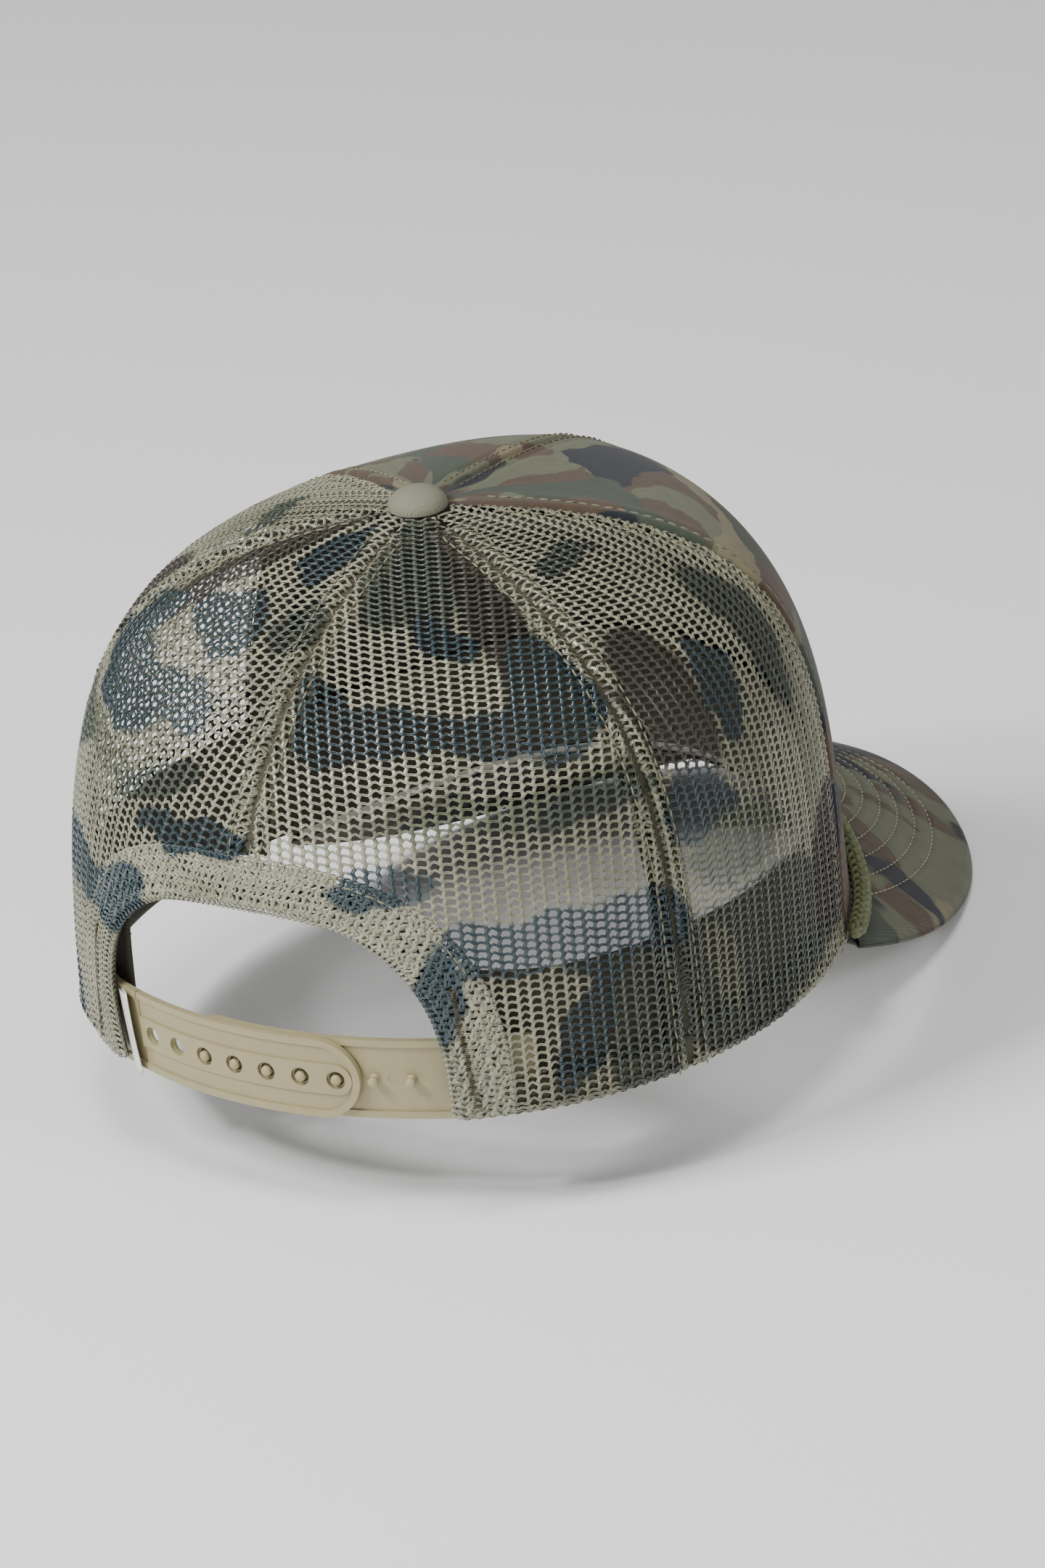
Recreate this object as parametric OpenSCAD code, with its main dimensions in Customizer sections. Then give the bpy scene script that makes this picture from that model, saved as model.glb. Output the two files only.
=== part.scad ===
// Six-panel trucker cap with a mesh crown, a curved visor and a snap strap.
// Origin: centre of the head opening, on the plane of the rim. +Z is up,
// the visor points along -Y and the wearer's left is +X. Millimetres.
// Angles round the crown start at the front and grow towards the wearer's left.

/* [Crown] */
// Width of the head opening, outside
crown_w = 174; // [150:1:210]
// Rim at the centre front, ahead of the origin
crown_front = 102; // [86:1:122]
// Rim at the centre back, behind the origin
crown_back = 98; // [82:1:118]
// Height of the crown above the rim
crown_h = 115; // [95:1:138]
// How far the apex sits behind the origin
apex_back = 6.4; // [0:0.1:12]
// Thickness of the knitted and woven panels
panel_t = 0.8; // [0.6:0.05:1]
// Half of the angle that the two front panels cover at the rim
front_seam = 67.7; // [62:0.1:74]
// The same at the button
front_seam_top = 60.2; // [55:0.1:66]
// Angle of the seam between a side and a rear panel at the rim
rear_seam = 110.6; // [100:0.1:118]
// The same at the button
rear_seam_top = 116.1; // [108:0.1:124]

/* [Rear opening] */
// Width of the opening at the rim
opening_w = 92; // [76:1:112]
// Height of the opening
opening_h = 49; // [40:1:60]
// Squareness of the arch, 2 is an ellipse
opening_square = 2.8; // [2:0.1:4]
// How far the lobe on the wearer's left reaches into the opening at the rim
lobe_reach = 4; // [0:0.5:6]
// How far the straps pull the left lobe inwards
lobe_pull_left = 2.5; // [0:0.5:2.5]
// How far they pull the right lobe inwards
lobe_pull_right = 1.5; // [0:0.5:2.5]
// Width of the folded hem round the opening
hem_w = 11; // [8:0.5:13]
// Thickness of the hem's inner layer
hem_t = 0.6; // [0.4:0.05:0.8]
// Width of the binding tape inside the hem
binding_w = 8; // [6:0.5:9]
// Thickness of tapes and bindings
tape_t = 0.5; // [0.3:0.05:0.6]

/* [Linings] */
// Thickness of the front panels' foam lining
lining_t = 1.4; // [1:0.1:1.5]
// Width of a seam tape
tape_w = 12; // [8:1:14]
// Height of the sweatband
band_h = 32; // [26:1:36]
// Thickness of the sweatband
band_t = 1.2; // [0.8:0.1:1.6]
// Diameter of the rope across the front
rope_d = 5; // [4:0.5:6]

/* [Visor] */
// Length from its corners to its tip
visor_len = 130; // [108:1:156]
// Half of the angle that the visor covers on the rim
visor_angle = 64; // [58:0.5:66]
// How far the rim and the visor rise at the centre front
visor_rise = 14; // [8:0.5:18]
// Fall of the visor for each millimetre forward
visor_slope = 0.39; // [0.3:0.01:0.48]
// Squareness of the outline, 2 is an ellipse
visor_square = 2.3; // [2:0.05:2.8]
// Thickness of the stiff board
board_t = 2; // [1.4:0.1:2.6]
// Thickness of each cloth cover
cover_t = 0.6; // [0.4:0.05:0.8]
// Cloth that turns round the board's edge
turn_w = 1.6; // [1.2:0.1:2.4]

/* [Button] */
// Diameter of the covered button
button_d = 14; // [12:0.5:17]
// Height of its dome
button_h = 4.6; // [3.5:0.1:6]

/* [Snap strap] */
// Height of the straps
strap_h = 20; // [16:0.5:24]
// Radius of the closed strap
strap_r = 93; // [80:1:112]
// Gap from the crown's rim to the strap at the centre back
strap_inset = 9.8; // [8.5:0.1:12]
// Height of the strap's middle above the rim plane
strap_z = 8; // [6:0.5:12]
// Lean of the strap's upper edge outwards, in degrees
strap_lean = 4.4; // [0:0.1:8]
// Thickness of the web
web_t = 1; // [0.8:0.05:1.3]
// Height of the raised rim and of the raised track
rim_t = 0.5; // [0.3:0.05:0.6]
// Width of the raised rim
rim_w = 1.7; // [1.2:0.1:2.4]
// Width of the raised track round the holes
track_w = 7.6; // [6.5:0.1:9]
// Holes in one strap, and pegs on the other
snaps = 7; // [5:1:8]
// Pegs and holes that stay free at each end
free_snaps = 2; // [1:1:4]
// Distance between snaps along the strap
snap_pitch = 8.6; // [8:0.1:10]
// Distance from the strap's bend to the first hole
first_hole = 4.3; // [4:0.1:9]
// Distance from the last snap to the strap's end
end_margin = 5.7; // [4.5:0.1:8]
// Radius of a hole's dish
dish_r = 2.25; // [2.1:0.05:2.6]
// Radius of the hole
hole_r = 1.8; // [1.7:0.05:1.95]
// Depth of the dish
dish_depth = 0.8; // [0.5:0.05:0.95]
// Radius of a peg's head
head_r = 1.25; // [1.1:0.05:1.3]
// Radius of a peg's waist
waist_r = 0.95; // [0.8:0.05:1.05]
// Height of a peg
peg_h = 2.9; // [2.4:0.1:3.2]

/* [Label] */
// Height of the folded care label
label_h = 20; // [14:1:24]
// Width of the label past the hem
label_w = 4.4; // [4:0.2:5]
// Lean of the label, which follows the lobe's edge, in degrees
label_lean = 6; // [0:1:8]

/* [Hidden] */

khaki = "#8f8b75";
olive = "#5d5f4c";
brown = "#4f463c";
band_brown = "#4a463b";
slate = "#3a4a50";
plastic = "#aca58d";
satin = "#f2f0ea";

seam_gap = 0.2;   // between neighbouring panels
layer_gap = 0.3;  // between layers that are sewn together
visor_gap = 0.8;  // under the crown's rim
snap_gap = 0.1;   // between the two closed straps
bend_gap = 0.3;   // between a strap and its sewn tab
fold_t = 0.15;    // of a cover, folded thin at the visor's edge
button_sink = 0.5; // of the button below the apex
half_w = crown_w / 2;
visor_t = board_t + 2 * (cover_t + layer_gap);
peak_u = 0.975;   // the panels end under the button
lobe_span = 24;   // degrees over which a lobe's lean fades
tab_len = 13;     // sewn length of a strap

// Shape of the crown's meridians, as [front, side, back].
rim_flare = [-0.07, -0.02, 0.01]; // how much the wall leans out above the rim
wall_rise = [0.93, 0.6, 0.49];    // how high the wall stays upright
top_reach = [0.73, 1.07, 0.87];   // how far out the top stays flat
top_fall_front = 5.2;             // fall of the top towards the front
top_fall_back = 15.9;             // and towards the back

function blend(angle, values) =
    let (c = cos(angle), front = c > 0 ? c * c : 0, back = c < 0 ? c * c : 0)
    values[0] * front + values[1] * (1 - front - back) + values[2] * back;

// Fullness of the crown, 1 at the rim and 0 at the apex.
function fullness(angle, u) =
    pow(1 - u, 3) + 3 * u * pow(1 - u, 2) * (1 + blend(angle, rim_flare))
    + 3 * u * u * (1 - u) * blend(angle, top_reach);

function fall(angle) = top_fall_back + (top_fall_front - top_fall_back) * (1 + cos(angle)) / 2;

// The visor's upper face: an arch across and a slope forwards that meets the
// rim at the visor's corners.
visor_corner = [half_w * sin(visor_angle), -crown_front * cos(visor_angle)];
visor_bend = (visor_rise + visor_slope * (crown_front + visor_corner[1])) / pow(visor_corner[0], 2);
function visor_z(x, y) = visor_rise - visor_bend * x * x - visor_slope * (-y - crown_front);

// The rim arches up over the visor.
function rim_z(angle) = cos(angle) > cos(visor_angle)
    ? max(0, visor_z(half_w * sin(angle), -crown_front * cos(angle))) : 0;

// The lobes at the feet of the rear opening lean in towards the strap.
foot_angle = 180 - asin(opening_w / 2 / half_w);
function lobe_bump(offset) = let (t = acos(cos(offset)) / lobe_span) t < 1 ? pow(cos(90 * t), 2) : 0;
function lobe_in(angle, u) = pow(1 - u, 8)
    * (lobe_pull_left * lobe_bump(angle - foot_angle) + lobe_pull_right * lobe_bump(angle + foot_angle));

// A point of the crown's outer face, u = 0 at the rim and 1 at the apex.
function crown(angle, u) =
    let (f = fullness(angle, u), depth = cos(angle) > 0 ? crown_front : crown_back, pull = lobe_in(angle, u))
    [(half_w * f - pull) * sin(angle),
     -(depth * f - pull) * cos(angle) + apex_back * (1 - f),
     3 * u * pow(1 - u, 2) * blend(angle, wall_rise) * crown_h
     + 3 * u * u * (1 - u) * (crown_h - fall(angle)) + pow(u, 3) * crown_h
     + rim_z(angle) * (pow(1 - u, 3) + 1.5 * u * pow(1 - u, 2))];

function unit(v) = v / norm(v);
function outward(angle, u) =
    let (v = min(max(u, 0.02), 0.96))
    unit(cross(crown(angle + 1, v) - crown(angle - 1, v), crown(angle, v + 0.01) - crown(angle, v - 0.01)));

// A point beside the crown's outer face, raised along its normal.
function layer(angle, u, raise) = crown(angle, u) + raise * outward(angle, u);

// u where a meridian reaches a height, found by halving.
function u_at(angle, z, low = 0, high = 0.8, steps = 14) =
    steps == 0 ? (low + high) / 2
    : let (mid = (low + high) / 2)
      crown(angle, mid)[2] < z ? u_at(angle, z, mid, high, steps - 1) : u_at(angle, z, low, mid, steps - 1);

// [angle, u] of a point on the back of the crown, given its x and z.
function on_back(x, z) =
    let (a0 = 180 - asin(x / half_w), u0 = u_at(a0, z),
         a1 = 180 - asin(x / half_w / fullness(a0, u0)))
    [a1, u_at(a1, z)];

// [x, z] on the arch of the rear opening, turn = 0 on the wearer's left foot
// and 180 on the right foot, grown outwards by a margin.
function arch(turn, grow = 0) =
    let (e = 2 / opening_square, c = cos(turn), s = sin(turn),
         z = (opening_h + grow) * pow(max(s, 0), e),
         reach = c > 0 ? lobe_reach * pow(1 - z / (opening_h + grow), 3) : 0)
    [sign(c) * ((opening_w / 2 + grow) * pow(abs(c), e) - reach), z];

function seam_angle(base, top, u) = base + (top - base) * u;
function arc_degrees(length, angle, u) =
    let (p = crown(angle, u)) min(27, length / norm([p[0], p[1] - apex_back]) * 180 / PI);
function flat(rows) = [for (r = rows) each r];
function steps(first, last, count) = [for (i = [0 : count]) first + (last - first) * i / count];

// All layers of the crown share these rows, so that their facets stay apart.
crown_rows = steps(0, peak_u, 14);
function rows_between(low, high) =
    concat([low], [for (u = crown_rows) if (u > low + 0.005 && u < high - 0.005) u], [high]);

// A closed sheet between two grids of points with the same rows and columns.
module sheet(upper, lower) {
    rows = len(upper);
    cols = len(upper[0]);
    half = rows * cols;
    edge = concat([for (j = [0 : cols - 2]) [j, j + 1]],
        [for (i = [0 : rows - 2]) [(i + 1) * cols - 1, (i + 2) * cols - 1]],
        [for (j = [cols - 1 : -1 : 1]) [(rows - 1) * cols + j, (rows - 1) * cols + j - 1]],
        [for (i = [rows - 1 : -1 : 1]) [i * cols, (i - 1) * cols]]);
    top = [for (i = [0 : rows - 2], j = [0 : cols - 2])
        let (a = i * cols + j) each [[a, a + cols, a + cols + 1], [a, a + cols + 1, a + 1]]];
    under = [for (f = top) [f[2] + half, f[1] + half, f[0] + half]];
    sides = [for (e = edge) each [[e[0], e[1], e[1] + half], [e[0], e[1] + half, e[0] + half]]];
    polyhedron(concat(flat(upper), flat(lower)), concat(top, under, sides), convexity = 8);
}

// A closed solid through rings of points, capped at both ends.
module loft(rings) {
    count = len(rings[0]);
    last = (len(rings) - 1) * count;
    walls = [for (i = [0 : len(rings) - 2], j = [0 : count - 1])
        let (a = i * count + j, b = i * count + (j + 1) % count)
        each [[a, a + count, b + count], [a, b + count, b]]];
    start = [for (j = [0 : count - 1]) j];
    end = [for (j = [count - 1 : -1 : 0]) last + j];
    polyhedron(flat(rings), concat(walls, [start], [end]), convexity = 8);
}

// A panel of the crown between two seams, from the rim to the button.
module panel(base0, top0, base1, top1, raise, thick, low_u = 0, high_u = peak_u, cols = 10) {
    inset = arc_degrees(seam_gap / 2, 90, 0);
    us = rows_between(low_u, high_u);
    function row(u, h) = [for (a = steps(seam_angle(base0, top0, u) + inset,
        seam_angle(base1, top1, u) - inset, cols)) layer(a, u, h)];
    sheet([for (u = us) row(u, raise)], [for (u = us) row(u, raise - thick)]);
}

// A rear panel. side is 1 on the wearer's left and -1 on the right.
module rear_panel(side) {
    inset = arc_degrees(seam_gap / 2, 90, 0);
    foot_turn = side > 0 ? 0 : 180;
    foot = on_back(arch(foot_turn)[0], 0)[0];
    seam = side > 0 ? rear_seam + inset : 360 - rear_seam - inset;
    seam_top = side > 0 ? rear_seam_top + inset : 360 - rear_seam_top - inset;
    rim = [for (a = steps(seam, foot, 5)) [a, 0]];
    over = [for (turn = steps(foot_turn, 90, 11)) if (turn != foot_turn) let (p = arch(turn)) on_back(p[0], p[1])];
    low = concat(rim, over);
    last = len(low) - 1;
    centre = 180 - side * inset;
    function column(i, h) = let (a0 = i == last ? centre : low[i][0], a1 = seam_top + (centre - seam_top) * i / last)
        [for (v = steps(0, 1, 14)) layer(a0 + (a1 - a0) * v, low[i][1] + (peak_u - low[i][1]) * v, h)];
    outer = [for (i = [0 : last]) column(i, 0)];
    inner = [for (i = [0 : last]) column(i, -panel_t)];
    if (side > 0) sheet(inner, outer);
    else sheet(outer, inner);
}

// A strip of tape along a seam, on the inner face.
module seam_tape(base, top, low_u, depth) {
    loft([for (u = rows_between(low_u, peak_u - 0.02))
        let (a = seam_angle(base, top, u), w = arc_degrees(tape_w / 2, a, u))
        [layer(a - w, u, -depth), layer(a + w, u, -depth),
         layer(a + w, u, -depth - tape_t), layer(a - w, u, -depth - tape_t)]]);
}

// A strip that follows the arch of the rear opening, between two margins.
module arch_strip(near, far, depth, thick) {
    function at(turn, grow, d) = let (p = arch(turn, grow), q = on_back(p[0], p[1])) layer(q[0], q[1], -d);
    middle = (near + far) / 2;
    loft([for (turn = steps(180, 0, 34)) [at(turn, near, depth), at(turn, middle, depth), at(turn, far, depth),
        at(turn, far, depth + thick), at(turn, middle, depth + thick), at(turn, near, depth + thick)]]);
}

// A point of the visor. turn = -90 and 90 at the corners, v = 0 at the crown
// and 1 at the edge, drop = depth below the upper face.
function visor_in(turn) = [(half_w - panel_t) * sin(turn * visor_angle / 90),
    -(crown_front - panel_t) * cos(turn * visor_angle / 90)];
function visor_out(turn, inset) = let (e = 2 / visor_square)
    [(visor_corner[0] + 1 - inset) * sign(turn) * pow(abs(sin(turn)), e),
     visor_corner[1] - (visor_len - inset) * pow(max(cos(turn), 0), e)];
function visor(turn, v, inset, drop) =
    let (p = visor_in(turn) * (1 - v) + visor_out(turn, inset) * v)
    [p[0], p[1], visor_z(p[0], p[1]) - visor_gap - drop];

module visor_cover(near, far, edge_near, edge_far) {
    function grid(d, at_edge) = [for (turn = steps(-89, 89, 26))
        concat([for (v = steps(0, 1, 7)) visor(turn, v, turn_w, d)],
            [visor(turn, 1, turn_w * 0.3, (d + at_edge) / 2), visor(turn, 1, 0, at_edge)])];
    sheet(grid(near, edge_near), grid(far, edge_far));
}

// Places a child on the closed strap: z along its outward normal from the
// face where the two straps meet, x along the strap.
strap_centre = crown_back - strap_inset - strap_r;
module on_strap(angle) {
    translate([0, strap_centre, 0]) rotate(angle) translate([0, strap_r, strap_z])
        rotate([-90 - strap_lean, 0, 0]) children();
}
function strap_degrees(length) = length / strap_r * 180 / PI;
bend_left = -asin((opening_w / 2 - lobe_reach - 6.1) / strap_r); // clear of the left lobe
bend_right = asin((opening_w / 2 + 2) / strap_r);                // under the right lobe
function snap_angle(i) = bend_left + strap_degrees(first_hole + i * snap_pitch);
round_back = strap_h / 2 - end_margin; // from the last snap to the end's centre
round_slack = 0.03; // lets a round end cut its edges cleanly
holed_end = snap_angle(snaps - 1) - strap_degrees(round_back);
peg_end = snap_angle(free_snaps) + strap_degrees(round_back);

// An arc of a band of the strap, between two heights from its middle line.
module strap_arc(from, to, low, high, inner, outer) {
    translate([0, strap_centre, 0]) rotate(90 + from) rotate_extrude(angle = to - from, $fn = 180)
        translate([strap_r, strap_z]) rotate(-strap_lean) translate([inner, low]) square([outer - inner, high - low]);
}

// The same band with a round end. centre is the angle of the end's centre.
module round_arc(bend, centre, half, inner, outer) {
    side = centre > bend ? 1 : -1;
    tip = centre + side * strap_degrees(half) * 1.1;
    difference() {
        strap_arc(min(bend, tip), max(bend, tip), -half, half, inner, outer);
        on_strap(centre) difference() {
            translate([side > 0 ? -half - 3 : 0, -half - 1, -4]) cube([half + 3, 2 * half + 2, 9]);
            translate([0, 0, -5]) cylinder(r = half + round_slack, h = 11, $fn = 64);
        }
    }
}

// A strap from its bend to its round end, with a raised rim all along.
module strap_body(bend, centre, inner) {
    half = strap_h / 2;
    open_end = bend + (bend > centre ? 1 : -1);
    difference() {
        round_arc(bend, centre, half, inner, inner + web_t + rim_t);
        round_arc(open_end, centre, half - rim_w, inner + web_t, inner + web_t + rim_t + 1);
    }
}

// A snap peg: foot, waist and domed head, as one turned outline.
module peg() {
    neck = 1.65;
    shoulder = 2.05;
    dome = peg_h - shoulder;
    rotate_extrude($fn = 40) polygon(concat(
        [[0, 0], [head_r, 0], [head_r, 0.3], [waist_r, 0.6], [waist_r, 1.35], [head_r, neck]],
        [for (a = [0 : 15 : 75]) [head_r * cos(a), shoulder + dome * sin(a)]], [[0, peg_h]]));
}

module front_panel_left() { color(brown) panel(0, 0, front_seam, front_seam_top, 0, panel_t); }
module front_panel_right() { color(brown) panel(-front_seam, -front_seam_top, 0, 0, 0, panel_t); }
module side_mesh_left() { color(khaki) panel(front_seam, front_seam_top, rear_seam, rear_seam_top, 0, panel_t); }
module side_mesh_right() {
    color(khaki) panel(-rear_seam, -rear_seam_top, -front_seam, -front_seam_top, 0, panel_t);
}
module rear_mesh_left() { color(olive) rear_panel(1); }
module rear_mesh_right() { color(olive) rear_panel(-1); }

module lining(a0, t0, a1, t1) {
    color("#3b3832") panel(a0, t0, a1, t1, -mesh_depth, lining_t, 0.01, 0.93);
}
module front_lining_left() { lining(0, 0, front_seam - 5, front_seam_top - 7); }
module front_lining_right() { lining(-front_seam + 5, -front_seam_top + 7, 0, 0); }

mesh_depth = panel_t + layer_gap;
lined_depth = mesh_depth + lining_t + layer_gap;
band_depth = lined_depth + tape_t + layer_gap;
module seam_tape_front() { color(band_brown) seam_tape(0, 0, 0.01, lined_depth); }
module seam_tape_front_left() { color(band_brown) seam_tape(front_seam, front_seam_top, 0.01, lined_depth); }
module seam_tape_front_right() { color(band_brown) seam_tape(-front_seam, -front_seam_top, 0.01, lined_depth); }
module seam_tape_rear_left() { color(band_brown) seam_tape(rear_seam, rear_seam_top, 0.01, mesh_depth); }
module seam_tape_rear_right() { color(band_brown) seam_tape(-rear_seam, -rear_seam_top, 0.01, mesh_depth); }
module seam_tape_back() {
    above_hem = u_at(180, opening_h + hem_w + 1);
    color(band_brown) seam_tape(180, 180, above_hem, mesh_depth);
}

// The sweatband runs inside the straps' sewn ends, so it steps inwards there.
band_foot_left = foot_angle - 1;
band_foot_right = -foot_angle + 5;
function band_in(angle) = let (left = (angle - band_foot_left + 20) / 20, right = (band_foot_right + 20 - angle) / 20)
    band_depth + strap_layer(1) * pow(max(0, left), 2) + strap_layer(-1) * pow(max(0, right), 2);
module sweatband() {
    color(band_brown) loft([for (a = steps(band_foot_right, band_foot_left, 64))
        let (top = u_at(a, rim_z(a) + band_h), d = band_in(a))
        [layer(a, 0.004, -d - band_t), layer(a, top / 2, -d - band_t), layer(a, top, -d - band_t),
         layer(a, top, -d), layer(a, top / 2, -d), layer(a, 0.004, -d)]]);
}

module opening_hem() { color(olive) arch_strip(0.2, hem_w, mesh_depth, hem_t); }
module opening_binding() { color(band_brown) arch_strip(0.6, binding_w, mesh_depth + hem_t + layer_gap, tape_t); }

module visor_board() {
    function grid(d) = [for (turn = steps(-86, 86, 24)) [for (v = steps(0.02, 1, 7)) visor(turn, v, turn_w * 1.6, d)]];
    top = cover_t + layer_gap;
    color("#d8d4c8") sheet(grid(top), grid(top + board_t));
}
edge_gap = layer_gap / 2;
module visor_top_cover() {
    color(brown) visor_cover(0, cover_t, visor_t / 2 - edge_gap - fold_t, visor_t / 2 - edge_gap);
}
module visor_under_cover() {
    color(slate) visor_cover(visor_t - cover_t, visor_t, visor_t / 2 + edge_gap, visor_t / 2 + edge_gap + fold_t);
}

module front_rope() {
    r = rope_d / 2;
    end = front_seam + 1;
    color("#5b6142") loft([for (a = steps(-end, end, 44))
        let (p = layer(a, 0, r + 0.1) + [0, 0, r + 0.2], out = outward(a, 0.02), up = [0, 0, 1],
             side = unit([out[0], out[1], 0]))
        [for (k = [0 : 7]) p + r * (side * sin(45 * k) + up * cos(45 * k))]]);
}

apex = [0, apex_back, crown_h];
module button_cover() {
    r = button_d / 2;
    color(khaki) translate(apex - [0, 0, button_sink]) rotate([-3, 0, 0]) rotate_extrude($fn = 72) difference() {
        intersection() {
            scale([r, button_h]) circle(r = 1, $fn = 96);
            square([r, button_h]);
        }
        square([r - 2.4, 1.2]);
    }
}
module button_back() {
    r = button_d * 0.32;
    color("#7d7a70") translate(apex - [0, 0, button_sink]) rotate([-3, 0, 0]) {
        cylinder(r = 1.4, h = 1.15, $fn = 32);
        translate([0, 0, -2.6]) cylinder(r = 1.4, h = 2.7, $fn = 32);
        translate([0, 0, -3.4]) cylinder(r = r, h = 0.9, $fn = 48);
    }
}

// A column of zigzag thread that holds a strap's tab in the hem.
module bar_tack(side) {
    function at(z, dx, h) = let (q = on_back(side * (opening_w / 2 + 5 - z / 9) + dx, z)) layer(q[0], q[1], h);
    color(olive) loft([for (z = steps(2, 33, 12))
        [at(z, -0.8, edge_gap), at(z, 0.8, edge_gap), at(z, 0.8, 0.6), at(z, -0.8, 0.6)]]);
}
module bar_tack_left() { bar_tack(1); }
module bar_tack_right() { bar_tack(-1); }

holed_inner = snap_gap;
peg_inner = -web_t - rim_t;
module holed_strap() {
    face = holed_inner + web_t;
    last = snap_angle(snaps - 1);
    color(plastic) difference() {
        union() {
            strap_body(bend_left, holed_end, holed_inner);
            round_arc(bend_left, last, track_w / 2, face - 0.1, face + rim_t);
        }
        for (i = [0 : snaps - 1]) on_strap(snap_angle(i)) {
            translate([0, 0, -1]) cylinder(r = hole_r, h = 5, $fn = 48);
            translate([0, 0, face + rim_t - dish_depth]) cylinder(r = dish_r, h = 3, $fn = 48);
        }
    }
}
module peg_strap() {
    face = peg_inner + web_t;
    color(plastic) {
        difference() {
            strap_body(bend_right, peg_end, peg_inner);
            for (i = [0 : snaps - 2]) on_strap(snap_angle(i + free_snaps + 0.5))
                translate([0, 0, face - 0.1]) cylinder(r = 1.2, h = 0.3, $fn = 32);
        }
        for (i = [0 : snaps - 1]) on_strap(snap_angle(i + free_snaps)) translate([0, 0, face - 0.05]) peg();
    }
}

// The sewn end of a strap: its section goes on past the bend, then a flat
// tab runs under the hem. side is 1 on the wearer's left.
tab_depth = mesh_depth + hem_t + tape_t + 3 * layer_gap + web_t;
function strap_point(angle, raise) = [-(strap_r + raise) * sin(angle), strap_centre + (strap_r + raise) * cos(angle)];
function flat_start(side) = side > 0 ? -asin((opening_w / 2 - 2.5) / strap_r) : bend_right + strap_degrees(1);
function tab_start(side) = strap_point(flat_start(side), side > 0 ? holed_inner : peg_inner);
function strap_layer(side) =
    let (p = crown(side * foot_angle, 0.05), q = tab_start(side))
    norm([p[0] - q[0], p[1] - q[1]]) + web_t + 2 * layer_gap - band_depth;
function tab_turn(side) =
    let (start = tab_start(side), reach = tab_len / crown_back * 1.5 * 180 / PI,
         p = layer(side * (180 - asin(abs(start[0]) / half_w) - reach), 0.05, -tab_depth),
         aim = atan2(p[1] - start[1], side * (p[0] - start[0])))
    aim + abs(flat_start(side));
module strap_tab(bend, side, inner) {
    start = flat_start(side);
    bend_edge = bend - side * strap_degrees(bend_gap);
    color(plastic) {
        difference() {
            strap_arc(min(start, bend_edge), max(start, bend_edge), -strap_h / 2, strap_h / 2, inner, inner + web_t + rim_t);
            strap_arc(min(start, bend_edge) - 1, max(start, bend_edge) + 1, rim_w - strap_h / 2, strap_h / 2 - rim_w,
                inner + web_t, inner + web_t + rim_t + 1);
        }
        on_strap(start) rotate([0, -side * tab_turn(side), 0])
            translate([side > 0 ? -0.2 : 0.2 - tab_len, -strap_h / 2, inner]) cube([tab_len, strap_h, web_t]);
    }
}
module holed_strap_tab() { strap_tab(bend_left, 1, holed_inner); }
module peg_strap_tab() { strap_tab(bend_right, -1, peg_inner); }

// A satin label folded once. It comes out at the left lobe's edge and hangs
// over the strap's sewn end.
module care_label() {
    leaf = 0.25;
    root = -asin((arch(0)[0] - 2) / strap_r);
    color(satin) on_strap(root) rotate([0, 13, label_lean])
        for (k = [0, 1]) translate([-label_w, -label_h / 2 + 1 + k * 0.4, web_t + rim_t + 0.15 + k * (leaf + 0.15)])
            cube([label_w, label_h, leaf]);
}

front_panel_left();
front_panel_right();
side_mesh_left();
side_mesh_right();
rear_mesh_left();
rear_mesh_right();
front_lining_left();
front_lining_right();
seam_tape_front();
seam_tape_front_left();
seam_tape_front_right();
seam_tape_rear_left();
seam_tape_rear_right();
seam_tape_back();
sweatband();
opening_hem();
opening_binding();
visor_board();
visor_top_cover();
visor_under_cover();
front_rope();
button_cover();
button_back();
bar_tack_left();
bar_tack_right();
holed_strap();
holed_strap_tab();
peg_strap();
peg_strap_tab();
care_label();
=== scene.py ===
# %% [markdown]
# # A mesh trucker cap
# The cap is six panels sewn to a button: two of woven cloth at the front and four
# of knitted mesh behind. A stiff visor, a rope, a sweatband and a plastic snap
# strap finish it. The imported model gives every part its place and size. This
# script leaves the moulded parts as they are and makes the cloth ones anew.

# %% Load the frame
import math

import bpy
import numpy as np
from mathutils import Matrix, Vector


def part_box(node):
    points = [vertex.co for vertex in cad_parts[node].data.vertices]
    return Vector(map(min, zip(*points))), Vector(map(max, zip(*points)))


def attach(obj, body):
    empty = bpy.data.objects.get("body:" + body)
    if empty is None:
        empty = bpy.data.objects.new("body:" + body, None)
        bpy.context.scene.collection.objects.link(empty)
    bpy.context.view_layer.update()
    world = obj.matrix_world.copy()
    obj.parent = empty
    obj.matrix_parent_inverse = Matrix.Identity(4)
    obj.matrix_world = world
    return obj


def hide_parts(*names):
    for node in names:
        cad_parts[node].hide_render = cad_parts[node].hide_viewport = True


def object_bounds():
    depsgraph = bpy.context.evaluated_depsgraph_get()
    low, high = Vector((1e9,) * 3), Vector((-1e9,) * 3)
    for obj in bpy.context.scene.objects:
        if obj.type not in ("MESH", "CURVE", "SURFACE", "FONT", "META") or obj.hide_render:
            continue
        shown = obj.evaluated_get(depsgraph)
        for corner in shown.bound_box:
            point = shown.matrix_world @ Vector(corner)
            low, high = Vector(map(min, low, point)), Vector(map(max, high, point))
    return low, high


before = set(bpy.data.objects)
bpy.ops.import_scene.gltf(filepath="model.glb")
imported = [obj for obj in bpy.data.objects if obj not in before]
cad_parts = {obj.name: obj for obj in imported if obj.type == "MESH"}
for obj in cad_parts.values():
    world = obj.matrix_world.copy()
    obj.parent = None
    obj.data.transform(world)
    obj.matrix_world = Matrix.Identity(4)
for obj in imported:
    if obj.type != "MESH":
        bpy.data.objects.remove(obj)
cad_box = [[float(v) for v in corner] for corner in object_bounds()]
print("the packed model spans", cad_box)

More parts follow.
